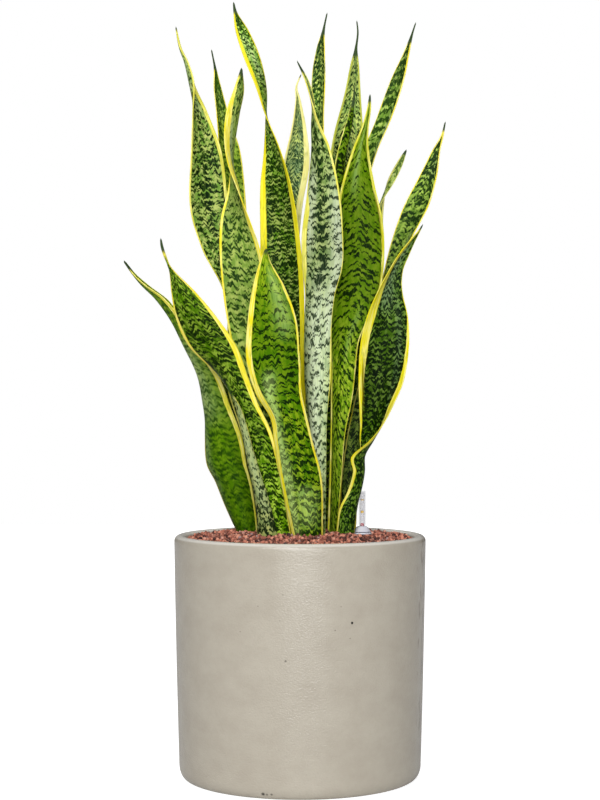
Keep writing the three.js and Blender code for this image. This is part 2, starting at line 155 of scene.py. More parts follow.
# What the leaves are unless they say otherwise, lengths in mm. The lists give a value at heights: cover is
# the share of dark marks, ribCover what the middle adds to it, bandA and bandB are the widths of the yellow
# bands, pale is the strength of the light streaks, shade the brightness of the green by height, partly the
# leaf's own tone and partly painted light and shade, and depth the painted shade over the whole leaf, yellow
# margins too, low where it stands deep among the others. A mark is markWidth by markLength. Its row has a
# period and a strength in rows, breaks into steps by jag, zigzags over the veins, rises to the rib by
# chevron and leans by slant. soft is the softness of the marks' edges, halo the deeper green round them,
# veil how far the painted sheen hides them, and needle the dry tip's length. An entry of blooms is a strip
# of painted sheen over a pale waxy coat: from and to height, place across at both, half width across,
# strength. An entry of creases is a painted shadow line in a margin, where it folds: margin, distance from
# it, from and to height. Each station is (height, margin a x, y, margin b x, y, sag of the middle off the
# chord). The leaf's place in the list seeds its noises
commonLook = dict(yellow="#F4E230", paleYellow="#FCF48C", marginTone="#A4A836", sheenBloomTone="#A9BC8E",
                  markWidth=8, markLength=2.6, period=7, rows=0.07, jag=5, zigzag=8, chevron=0, slant=0,
                  soft=0.027, halo=0.7, veil=0.06, needle=28, ribCover=[(272, 0)], pale=[(272, 1)],
                  shade=[(272, 1)], deepShade=[(272, 1)], sheenBlooms=[], creaseShadows=[])
leaves = {
    "leaf_front_middle": dict(
        slot="leaf_bright", green="#3D6700", light="#8BA219", dark="#071B01", yellow="#F8E628",
        sheenBloomTone="#AECA72", markWidth=9, period=10, rows=0.11, zigzag=15, chevron=0.1, soft=0.035,
        veil=0.4, needle=6,
        cover=[(272, 0.5), (330, 0.48), (400, 0.4), (470, 0.4), (520, 0.26), (560, 0.1)],
        bandA=[(272, 7), (340, 6.5), (372, 8), (395, 10), (415, 11), (435, 9), (512, 7), (540, 5.5),
            (575, 1.5)],
        bandB=[(272, 3.6), (300, 3.4), (372, 3.8), (400, 4.5), (430, 3.8), (450, 2.6), (491, 2.8),
            (532, 3.4), (575, 1.2)], pale=[(272, 1), (380, 0.8), (430, 0.35), (520, 0.4), (560, 1)],
        shade=[(290, 1.2), (370, 1.15), (410, 1.3), (440, 1.2), (480, 1.2), (560, 1.3)],
        sheenBlooms=[(385, 455, -0.7, -0.1, 0.2, 0.75), (250, 420, -0.6, -0.72, 0.27, 0.95),
            (275, 330, 0.2, 0.1, 0.5, 0.4), (480, 570, 0.5, 0.35, 0.3, 0.35)],
        stations=[(235, 0, -26, 25, -28, -11), (272, -9, -30, 25, -31, -12), (330, -21, -37, 24, -41, -13),
            (372, -28, -43, 14, -48, -13), (398, -32, -48, 8, -53, -13), (425, -48, -55, 2, -59, -12),
            (462, -58, -65, 0, -68, -10), (505, -56, -78, -4, -80, -8), (540, -50, -89, -17, -90, -5),
            (564, -43, -96, -31, -96, -3), (579, -36.5, -100, -35.5, -100, -1)]),
    "leaf_front_left": dict(
        slot="leaf_bright", green="#456D00", light="#8FAB36", dark="#0F2201", yellow="#EADC30",
        paleYellow="#F8EA78", sheenBloomTone="#B4C284", markWidth=10, period=6.5, zigzag=18, slant=0.3,
        needle=16, cover=[(400, 0.5), (470, 0.54), (540, 0.45), (570, 0.5)],
        bandA=[(272, 0.3), (400, 0.8), (430, 3), (460, 5), (490, 5), (512, 3), (532, 2)],
        bandB=[(272, 2.4), (312, 3.5), (392, 5), (432, 6.5), (472, 7), (500, 5.5), (532, 3.5), (570, 2)],
        shade=[(300, 1.5), (340, 1.4), (380, 0.95), (460, 0.95), (500, 0.8), (540, 1.3)],
        sheenBlooms=[(300, 470, -0.75, -0.8, 0.16, 0.9)],
        stations=[(235, -38, -14, -5, -22, -10), (272, -42, -16, -10, -24, -11),
            (330, -52, -20, -19, -32, -13), (380, -63, -24, -30, -42, -14), (415, -71, -30, -46, -50, -13),
            (445, -90, -38, -57, -56, -11), (475, -120, -47, -68, -60, -9), (505, -134, -56, -88, -64, -7),
            (535, -139, -64, -113, -68, -5), (560, -141, -70, -138, -71, -3),
            (573, -146.5, -73, -144, -73, -1.5), (583, -149.5, -75, -147, -75, -1),
            (592, -150, -77, -149, -77, -0.5)]),
    "leaf_outer_left": dict(
        slot="leaf_bright", green="#4A7400", light="#7E9A1C", dark="#1E3E02", yellow="#EAE248",
        sheenBloomTone="#A2B47A", markLength=3.6, jag=3, zigzag=10, soft=0.2, halo=0.5, needle=14,
        cover=[(272, 0.5), (330, 0.44), (420, 0.38), (575, 0.42)],
        bandA=[(272, 3), (330, 4), (385, 5), (420, 1.5), (575, 1.2)],
        bandB=[(272, 2.4), (332, 3.4), (372, 5), (432, 6), (500, 6), (540, 4.5), (575, 1.5)],
        pale=[(272, 0.25), (380, 0.4), (450, 1)], shade=[(330, 0.95), (370, 1.1), (410, 1.05), (450, 1.4)],
        sheenBlooms=[(385, 500, -0.3, -0.1, 0.7, 0.75), (300, 400, -0.8, -0.6, 0.2, 0.4)],
        creaseShadows=[("a", 3, 300, 400)],
        stations=[(235, -52, 36, -45, 26, -9), (272, -73, 36, -48, 26, -10), (300, -86, 37, -51, 24, -11),
            (325, -96, 38, -55, 20, -12), (345, -106, 40, -60, 16, -12), (376, -108, 42, -65, 8, -13),
            (412, -107, 44, -78, 0, -15), (446, -111, 44, -91, -4, -14), (480, -122, 42, -115, -6, -13),
            (508, -134, 38, -132, -6, -12.5), (531, -149, 34, -151, -4, -12),
            (547, -170, 28, -173, 0, -6.5), (560, -185, 20, -187, 6, -2.5),
            (575, -197, 14, -198.5, 12, -1)]),
    "leaf_scale": dict(
        slot="leaf_papery", green="#76884C", light="#A8AC60", dark="#10200A", sheenBloomTone="#A4B480",
        markWidth=3, markLength=3.6, needle=2, cover=[(272, 0.66), (300, 0.52), (340, 0.32), (424, 0.26)],
        bandA=[(272, 0), (424, 0.6)], bandB=[(272, 0), (424, 0.3)], sheenBlooms=[(275, 430, 0.3, 0.2, 0.6, 0.8)],
        stations=[(235, -45, -34, -20, -36, -5), (272, -46.5, -36, -25, -40, -6),
            (310, -49, -39, -34, -44, -5), (345, -56, -42, -45, -48, -4), (370, -61, -45, -52.5, -50, -2.5),
            (392, -65.5, -48, -58, -53, -2), (410, -69.5, -50, -64.5, -54, -1.5),
            (424, -73.5, -53, -72.5, -54, -0.5)]),
    "leaf_tall_left": dict(
        slot="leaf_mottled", green="#6D9538", light="#B6C16B", dark="#071D05", yellow="#D8D44A",
        markWidth=5, markLength=2.2, period=6.5, jag=5.6, zigzag=13, slant=-0.1, needle=5,
        cover=[(272, 0.5), (600, 0.48), (700, 0.46), (770, 0.35), (800, 0.2)],
        ribCover=[(600, 0.15), (740, 0.1)],
        bandA=[(272, 1), (600, 1.8), (692, 2.4), (730, 3.5), (775, 2), (841, 1.2)],
        bandB=[(272, 1), (652, 3), (692, 3.8), (712, 4.5), (752, 4), (772, 5.5), (800, 4), (841, 0.8)],
        shade=[(580, 1.3), (610, 1)], sheenBlooms=[(740, 815, 0, 0, 0.8, 0.6), (380, 480, -0.5, -0.3, 0.5, 0.6)],
        stations=[(235, -42, 6, -21, 6, 7), (272, -46, 6, -25, 6, 8), (330, -54, 10.5, -30, 8, 9),
            (385, -67, 10, -36, 10, 10), (425, -80, 12, -41, 12, 10), (458, -84, 13, -46, 15, 9),
            (490, -82, 14, -52, 16, 9), (520, -82, 15, -58, 19, 9), (548, -89, 17, -64, 22, 8),
            (585, -109, 19, -73, 27, 8), (635, -124, 22, -81, 33, 8), (700, -123, 25, -89, 40, 7),
            (745, -121, 24, -105, 42, 6), (775, -119, 22, -119, 38, 6), (800, -126, 23, -126, 34, 4.5),
            (817, -135, 26, -134, 30, 2), (841, -141, 28, -140, 28.5, 0.5)]),
    "leaf_back_left": dict(
        slot="leaf_bright", green="#7E9E28", light="#AACB48", dark="#2B4F09", markWidth=7, markLength=2.4,
        zigzag=10, needle=26,
        cover=[(272, 0.4), (660, 0.38), (740, 0.42), (770, 0.7), (800, 1.1), (826, 1.2)],
        bandA=[(272, 1), (826, 0.5)], bandB=[(272, 1), (652, 1.6), (826, 0.5)],
        shade=[(272, 1), (730, 0.85)], deepShade=[(272, 0.3), (520, 0.35), (620, 0.9), (680, 1)],
        sheenBlooms=[(735, 790, 0.2, 0.2, 0.3, 0.25)],
        stations=[(235, -48, 50, -22, 52, 7), (272, -56, 50, -26, 52, 8), (310, -63, 50, -30, 54, 8),
            (350, -73, 51, -36, 57, 8), (390, -83, 52, -42, 60, 8), (430, -92, 53, -47, 62, 8),
            (470, -84, 54, -50, 66, 8), (510, -76, 55, -53, 69, 8), (590, -84, 58, -59, 75, 7),
            (670, -90.5, 62, -64.5, 80, 6), (710, -93.5, 65, -70, 82, 5), (740, -95.5, 69, -80, 82, 4),
            (780, -99.5, 75, -91, 83, 3), (805, -99.5, 80, -97.5, 83, 1),
            (826, -103.5, 84, -102.5, 84, 0.5)]),
    "leaf_folded_left": dict(
        slot="leaf_mottled", green="#709037", light="#A6B75C", dark="#1C370D", sheenBloomTone="#9CAC7C",
        markLength=3, period=9, jag=6, zigzag=15, slant=0.2, needle=10,
        cover=[(272, 0.5), (500, 0.4), (620, 0.4), (660, 0.25), (720, 0.2), (770, 0.55)],
        bandA=[(272, 1.5), (491, 2.2), (571, 2.2), (612, 3), (640, 3), (700, 1), (752, 2), (790, 1.5)],
        bandB=[(272, 3), (500, 4), (592, 5.5), (620, 7), (660, 9), (712, 9), (732, 8.5), (752, 5),
            (772, 2)], shade=[(490, 1.3), (520, 1), (600, 1.05), (640, 0.7), (720, 1.3), (760, 1.1)],
        sheenBlooms=[(655, 745, 0.3, 0.3, 0.22, 0.9)],
        stations=[(235, -26, -8, -8, -6, 7), (272, -33, -8, -11, -6, 8), (330, -43, -10, -16, -8, 9),
            (400, -59, -12, -23, -12, 10), (460, -72, -15, -28, -17, 10), (520, -83, -17, -33, -22, 9),
            (580, -89, -15, -43, -26, 8), (620, -88, -9, -57, -29, 8), (650, -81, -1, -69, -29, 7),
            (680, -77, 9, -80, -24, 4), (710, -73, 14, -84, -15, 3), (740, -68, 14, -82, -5, 3),
            (765, -63, 10, -74, 1, 2), (790, -65, 6, -66, 5, 0.5)]),
    "leaf_tallest": dict(
        slot="leaf_dark", green="#568117", light="#A0B159", dark="#0E2403", yellow="#E8DA1C",
        paleYellow="#F2E640", markLength=2.2, period=5.5, rows=0.09, needle=14,
        cover=[(600, 0.6), (700, 0.56), (740, 0.42), (800, 0.36), (835, 0.5), (850, 1)],
        bandA=[(272, 5), (591, 7.5), (640, 7), (672, 5.5), (712, 3.5), (735, 2.4), (800, 2.4), (860, 1.5)],
        bandB=[(272, 5), (500, 6.5), (531, 7), (652, 7), (690, 5.5), (735, 3.2), (790, 4.5), (812, 4),
            (855, 1.5)],
        shade=[(560, 0.75), (600, 0.95), (640, 0.85), (720, 1.75), (790, 1.35), (830, 2.05)],
        sheenBlooms=[(770, 840, -0.3, 0.2, 0.4, 0.35)],
        stations=[(235, -17, 13, 11, 11, 7), (272, -19, 13, 10, 11, 8), (340, -25, 14, 8, 11, 9),
            (410, -33, 16, 6, 10, 10), (480, -40, 18, 5, 8, 10), (550, -44, 20, 4, 7, 9),
            (610, -45, 24, -1.8, 5, 8), (660, -45, 28, -10.7, 1, 7), (700, -41, 31, -23.3, -3, 4),
            (735, -39, 33, -38, 2, 1.5), (770, -38, 30, -50, 9, 2), (805, -45, 25, -64, 15, 2),
            (835, -58, 22, -73, 18, 1.5), (855, -71, 20, -75, 19, 1), (867, -74.5, 20, -75.5, 20, 0.5)]),
    "leaf_middle_back": dict(
        slot="leaf_mottled", green="#789461", light="#C7D573", dark="#294427", yellow="#F8F092",
        paleYellow="#FDF8B0", markWidth=4.5, markLength=2, period=5, chevron=0.8, needle=5,
        cover=[(640, 0.55), (720, 0.5)], bandA=[(272, 2.4), (700, 2.8), (752, 2), (791, 0.8)],
        bandB=[(272, 6.5), (652, 7.5), (700, 7), (730, 4), (760, 2.4), (791, 0.8)],
        shade=[(650, 1.05), (690, 1)],
        stations=[(235, -10, 32, 8, 34, 7), (272, -12, 32, 8, 34, 8), (350, -15, 34, 7, 37, 9),
            (430, -20, 36, 6, 40, 9), (510, -25, 36, 3, 43, 9), (590, -27, 37, -1, 46, 9),
            (640, -26, 38, 3, 47, 8), (690, -18, 40, 11, 48, 7), (730, -9, 43, 7, 49, 5),
            (762, -4.5, 46, 0.5, 49, 3), (776, -4.5, 48, -3, 49, 1), (791, 1, 49, 2, 49, 0.5)]),
    "leaf_pale_middle": dict(
        slot="leaf_pale", green="#66843A", light="#AEBE74", dark="#0A2406", yellow="#E2DC50",
        sheenBloomTone="#CEDAB8", markWidth=8.5, markLength=3.6, period=11, rows=0.06, jag=8, zigzag=11,
        chevron=-0.2, soft=0.035, halo=0.3, needle=16,
        cover=[(272, 0.44), (330, 0.4), (450, 0.38), (640, 0.38), (690, 0.46), (760, 0.4)],
        ribCover=[(470, 0.02), (550, 0.22), (640, 0.28), (700, 0.2)],
        bandA=[(272, 0.8), (520, 1.2), (545, 3), (565, 7), (630, 8), (650, 2.4), (700, 0.8), (752, 2),
            (799, 0.8)],
        bandB=[(272, 0.2), (400, 0.3), (452, 2), (512, 1), (592, 1.4), (632, 2), (692, 2.5), (730, 3.4),
            (799, 0.8)], shade=[(360, 1.1), (440, 1.15), (600, 0.8), (640, 0.95), (680, 1), (710, 1.35)],
        sheenBlooms=[(260, 600, -0.1, 0.1, 0.85, 0.9), (430, 690, 0.75, 0.8, 0.35, 0.95),
            (560, 700, -0.6, -0.6, 0.3, 0.8)],
        stations=[(235, 14, -12, 28, -16, -5), (272, 13, -12, 28, -16, -6), (340, 11, -8, 29, -18, -7),
            (400, 9.5, -5, 30, -18, -8), (440, 5.5, -3, 34, -17, -8), (500, 5, -3, 35, -15, -9),
            (535, 6, -2, 39, -13, -8), (565, 3, -2, 47, -11, -8), (600, 2, 0, 48, -8, -8),
            (650, 8, 8, 44, -5, -6), (700, 13, 16, 33, -4, -4), (730, 13, 17, 20, -3, -2),
            (752, 16, 15, 13, 0, -1.5), (775, 10.5, 12, 6, 6, -1), (799, -3, 10, -3.5, 9, -0.5)]),
    "leaf_back_middle": dict(
        slot="leaf_mottled", green="#567B32", light="#D0E36E", dark="#1A360E", markWidth=5, markLength=2,
        rows=0.1, zigzag=12, chevron=0.2, cover=[(272, 0.5), (740, 0.55), (820, 0.55), (845, 1)],
        bandA=[(272, 1), (867, 0.4)], bandB=[(272, 1.2), (867, 0.4)],
        shade=[(730, 1.05), (770, 1.2), (810, 0.75)],
        stations=[(235, 5, 52, 27, 50, 6), (272, 5, 53, 28, 49, 7), (350, 5, 58, 29, 49, 8),
            (430, 6, 64, 30, 51, 8), (510, 8, 69, 31, 54, 8), (590, 10, 73, 30, 58, 7),
            (670, 12, 76, 28, 60, 6), (740, 14.5, 78, 27, 63, 4.5), (790, 13.5, 77, 29, 67, 4),
            (825, 19, 76, 28.5, 71, 2), (847, 26, 75, 28.5, 74, 1), (867, 31, 76, 32, 76, 0.5)]),
    "leaf_back_right": dict(
        slot="leaf_mottled", green="#7A9A4C", light="#C8D46F", dark="#0B220E", yellow="#B8BE48",
        paleYellow="#D0D460", markWidth=6, markLength=2.4, zigzag=12, chevron=0.5, needle=44,
        cover=[(272, 0.5), (700, 0.46), (780, 0.44), (830, 0.5)],
        bandA=[(272, 2.4), (712, 3.2), (752, 2.4), (812, 1.6), (863, 0.5)],
        bandB=[(272, 1.5), (772, 2), (863, 0.4)], shade=[(710, 0.75), (750, 1.35), (790, 0.9)],
        stations=[(235, 27, 61, 48, 63, 6), (272, 28, 61, 50, 63, 7), (350, 29, 63, 55, 70, 8),
            (430, 30, 66, 60, 76, 8), (510, 30, 69, 65, 82, 8), (590, 30, 73, 69, 87, 8),
            (660, 31, 78, 72, 90, 7), (720, 38, 84, 74, 92, 6), (775, 52, 90, 71, 94, 4),
            (810, 59, 94, 69, 95, 2), (829, 64, 97, 67, 97, 1), (848, 67, 99, 68.5, 99, 0.7),
            (863, 66, 100, 67, 100, 0.5)]),
    "leaf_narrow_right": dict(
        slot="leaf_dark", green="#5F8A08", light="#7C9623", dark="#091B03", yellow="#B4B83C", markWidth=6,
        zigzag=10, cover=[(784, 0.55)], bandA=[(272, 2), (700, 1.6), (750, 0.3), (784, 0.2)],
        bandB=[(272, 0.4), (784, 0.2)], shade=[(690, 1.05), (720, 0.95)],
        stations=[(235, 18, 34, 37, 36, 6), (272, 20, 34, 39, 36, 6), (350, 23, 36, 42, 42, 4),
            (430, 25, 40, 45, 48, 2), (510, 28, 46, 46, 58, -2), (590, 31, 52, 46, 68, -5),
            (650, 35, 56, 46, 74, -7), (700, 42, 60, 49, 78, -7), (735, 52, 66, 57, 78, -5),
            (758, 59, 71, 61.5, 76, -2), (775, 62, 74, 63, 75, -0.7), (784, 62, 76, 63, 76, -0.5)]),
    "leaf_broad_right": dict(
        slot="leaf_bright", green="#567D01", light="#98AE2C", dark="#0B2101", yellow="#D2D028",
        sheenBloomTone="#93B25E", markLength=3, period=8, rows=0.08, zigzag=9, chevron=0.65, needle=10,
        cover=[(272, 0.42), (420, 0.36), (520, 0.34), (640, 0.3), (700, 0.24)],
        ribCover=[(272, 0), (460, 0.12), (520, 0.05), (640, 0)],
        bandA=[(272, 2.6), (512, 2.2), (632, 2.2), (672, 3.4), (700, 2.8), (763, 0.8)],
        bandB=[(272, 0.9), (400, 0.6), (452, 1.1), (552, 2.2), (592, 3.2), (700, 2.8), (763, 0.8)],
        pale=[(460, 1), (520, 0.35), (640, 0.35), (720, 0.6)],
        shade=[(320, 0.85), (360, 0.95), (440, 1.25), (550, 0.85), (630, 0.75), (710, 0.95)],
        sheenBlooms=[(640, 745, -0.25, -0.1, 0.18, 0.7), (455, 530, 0.35, 0.5, 0.12, 0.4)],
        creaseShadows=[("b", 2.2, 520, 660)],
        stations=[(235, 31, 8, 38, 22, 4), (272, 32, 8, 42, 22, 4), (330, 34, 8, 47, 21, 6),
            (380, 35, 8, 51, 21, 7), (420, 35, 8, 59, 21, 8), (455, 35, 8, 63, 21, 9),
            (485, 34, 8, 67, 21, 9), (515, 34, 8, 80, 20, 9), (545, 35, 8, 91, 19, 9),
            (580, 37, 8, 95, 18, 9), (620, 41, 10, 93, 16, 8), (660, 47, 14, 84, 16, 7),
            (700, 59, 19, 77, 15, 5), (725, 69, 21, 77, 17, 3), (745, 75, 21, 79.5, 19, 2),
            (763, 78.5, 20, 79.5, 20, 0.5)]),
    "leaf_tall_right": dict(
        slot="leaf_mottled", green="#62872D", light="#A8C05C", dark="#203C0E", sheenBloomTone="#A2B888",
        markLength=3, period=12, rows=0.13, zigzag=14, chevron=0.2,
        cover=[(272, 0.5), (700, 0.44), (760, 0.52), (800, 0.6), (845, 1)], bandA=[(272, 1.2), (863, 0.8)],
        bandB=[(272, 1.2), (772, 2), (832, 2), (863, 0.8)], shade=[(760, 1.1), (800, 0.75)],
        sheenBlooms=[(640, 770, 0.75, 0.7, 0.25, 0.85)],
        stations=[(235, 45, 52, 63, 50, 6), (272, 45, 53, 64, 50, 7), (350, 45, 59, 67, 50, 8),
            (430, 46, 66, 69, 51, 8), (510, 48, 71, 70, 52, 8), (590, 52, 75, 71, 54, 7),
            (650, 59, 78, 75, 57, 6), (700, 71, 83, 87, 63, 5), (745, 88.5, 90, 106, 74, 4),
            (790, 105, 97, 121, 88, 3), (825, 121, 104, 128, 99, 2), (848, 130.5, 107, 132.5, 106, 1),
            (863, 136, 110, 137, 110, 0.5)]),
    "leaf_small_right": dict(
        slot="leaf_mottled", green="#A7BE52", light="#B0BE7B", dark="#476329", yellow="#D4D47C",
        markWidth=4, needle=8, cover=[(272, 0.4), (680, 0.36), (700, 0.8)], bandA=[(714, 0.8)],
        bandB=[(632, 2.4), (652, 4), (680, 3.2), (714, 1.2)], deepShade=[(272, 0.3), (520, 0.5), (600, 1)],
        stations=[(235, 44, 72, 58, 74, 4), (272, 47, 72, 61, 74, 5), (350, 52, 74, 66, 80, 5),
            (430, 61, 78, 75, 88, 5), (510, 70, 84, 84, 98, 5), (570, 78, 90, 91, 106, 5),
            (615, 85, 94, 97, 111, 4), (648, 95, 99, 99, 113, 3), (675, 111.5, 108, 103, 114, 2),
            (697, 121.7, 114, 113.5, 115, 1), (714, 126.5, 116, 125, 116, 0.5)]),
    "leaf_outer_right": dict(
        slot="leaf_mottled", green="#587826", light="#94AE4A", dark="#12280C", markWidth=7, markLength=2.8,
        period=8, zigzag=15, needle=12,
        cover=[(272, 0.5), (560, 0.45), (640, 0.48), (670, 0.56), (700, 0.66), (739, 1)],
        bandA=[(739, 1.2)], bandB=[(272, 1.2), (660, 2), (739, 1.2)],
        shade=[(560, 1.05), (610, 1), (660, 1.3)],
        deepShade=[(272, 0.35), (330, 0.4), (410, 0.5), (500, 0.8), (570, 1)],
        sheenBlooms=[(560, 620, 0.6, 0.6, 0.2, 0.35), (670, 710, 0.3, 0.3, 0.5, 0.2)],
        stations=[(235, 43, 32, 57, 32, 6), (272, 44, 33, 61, 31, 6), (330, 47, 38, 66, 32, 6),
            (390, 56, 43, 77, 34, 6), (450, 70, 47, 90, 36, 6), (510, 84, 52, 99, 38, 6),
            (560, 95, 57, 108, 41, 6), (600, 105, 61, 126, 45, 6), (640, 119, 63, 147, 49, 5),
            (675, 137, 65, 157, 54, 4), (705, 152, 65, 161, 60, 3), (722, 162, 64, 165, 63, 1),
            (739, 167, 64, 168, 64, 0.5)]),
    "leaf_twisted_right": dict(
        slot="leaf_dark", green="#355502", light="#648032", dark="#021201", yellow="#E4D818",
        paleYellow="#F0E678", sheenBloomTone="#7A9270", markWidth=6, zigzag=12, soft=0.045, needle=8,
        cover=[(272, 0.55), (400, 0.6), (480, 0.56), (614, 0.5)],
        bandA=[(272, 3), (352, 3.4), (375, 6), (392, 9), (412, 9), (432, 7), (452, 5), (492, 3), (512, 0.8),
            (614, 0.6)],
        bandB=[(272, 1.6), (320, 1), (380, 1.6), (412, 3.2), (432, 5.5), (472, 9.5), (512, 12), (552, 11),
            (592, 7), (607, 2.4)],
        shade=[(300, 1.4), (340, 1.6), (380, 1.3), (420, 0.75), (530, 1.2), (570, 1.5)],
        sheenBlooms=[(390, 560, -0.55, -0.65, 0.14, 0.3), (510, 606, 0.1, -0.1, 0.5, 0.6)],
        creaseShadows=[("b", 5, 395, 470)],
        stations=[(235, 38, 8, 58, 10, -6), (272, 41, 8, 61, 10, -6), (296, 44, 5, 64, 12, -6),
            (316, 53, 0, 67.7, 15, -6), (338, 59, -8, 70, 16, -6), (355, 57, -14, 69, 14, -8),
            (372, 76, -18, 67, 10, -9), (390, 91, -20, 67, 4, -10), (412, 103, -20, 66, -3, -10),
            (440, 115, -18, 65, -9, -10), (480, 121, -14, 67, -14, -9), (510, 120, -10, 74, -17, -9),
            (540, 114, -5, 87, -19, -8), (562, 115, -2, 99, -18, -6), (580, 122, -2, 110, -16, -4),
            (596, 129, -3, 123, -12, -2.5), (607, 134.5, -5, 132.5, -7, -1),
            (614, 137.5, -6, 136.5, -6, -0.5)])}

# What all leaves share: a strip of painted sheen fades in from sheenBloomEnd below its start, over
# sheenBloomFade of its length, and out again at its top. ribWidth is the rib's share of the half width.
# rowShift, patches, cover, fineStreaks and bandRagged weigh the noises, and markLevel is where a mark gets
# dark
leafPaint = dict(sheenBloomEnd=5, sheenBloomFade=0.3, creaseShadowWidth=0.7, creaseShadowFade=20, ribWidth=0.25, noiseSeed=7.3,
                 markSeed=3.1, rowShift=9, patches=0.28, cover=0.44, markLevel=0.86,
                 haloLevels=(0.72, 0.88), fineStreaks=0.6, bandRagged=1.2, tipFade=3, grainStrength=0.25,
                 grainHeight=0.3, tip="#3A4C2C", creaseShadow="#6B6206", roughness=0.5, specular=0.04)


def smoothStep(values, start, end):
    # 0 up to the start, 1 from the end on, and between them t * t * (3 - 2 * t)
    share = np.clip((values - start) / (end - start), 0, 1)
    return share * share * (3 - 2 * share)


# strips of painted sheen over the pale waxy coat, where each leaf lists them
def sheenBloomShare(z, s, sheenBlooms):
    # share(s, z) = strength * exp(-((s - centre(z)) / half width) ** 2), fading in and out at its ends
    share = 0 * z + 0 * s
    for low, high, centreLow, centreHigh, halfWidth, strength in sheenBlooms:
        centre = np.interp(z, [low, high], [centreLow, centreHigh])
        fade = (high - low) * leafPaint["sheenBloomFade"]
        ends = smoothStep(z, low - leafPaint["sheenBloomEnd"], low + fade) * smoothStep(-z, -high, fade - high)
        share = np.maximum(share, strength * ends * np.exp(-((s - centre) / halfWidth) ** 2))
    return share


# painted shadow lines in the yellow margins, where a margin folds
def creaseShadowShare(z, fromA, fromB, creaseShadows):
    # share(s, z) = exp(-((distance from the margin - line) / width) ** 2) between the two heights
    share = 0 * fromA
    for margin, line, low, high in creaseShadows:
        distance = fromA if margin == "a" else fromB
        fade = leafPaint["creaseShadowFade"]
        ends = smoothStep(z, low, low + fade) * smoothStep(-z, -high, fade - high)
        share = np.maximum(share, ends * np.exp(-((distance - line) / leafPaint["creaseShadowWidth"]) ** 2))
    return share


def stationRows(stations):
    # cubic curves through the stations, their slopes taken from the neighbours, read at even heights
    table = np.array(stations, float)
    before = table[np.maximum(np.arange(len(table)) - 1, 0)]
    after = table[np.minimum(np.arange(len(table)) + 1, len(table) - 1)]
    slopes = (after - before) / (after[:, :1] - before[:, :1])
    heights = np.linspace(table[0, 0], table[-1, 0], round(np.ptp(table[:, 0]) / leafBlade["rowStep"]) + 1)
    low = np.clip(np.searchsorted(table[:, 0], heights, side="right") - 1, 0, len(table) - 2)
    span = (table[low + 1, 0] - table[low, 0])[:, None]
    t = (heights - table[low, 0])[:, None] / span
    rows = (table[low] * (2 * t ** 3 - 3 * t ** 2 + 1) + slopes[low] * (t ** 3 - 2 * t ** 2 + t) * span
            + table[low + 1] * (3 * t ** 2 - 2 * t ** 3) + slopes[low + 1] * (t ** 3 - t ** 2) * span)
    share = np.interp(heights, table[:, 0], np.linspace(0, 1, len(table)))
    return rows, share


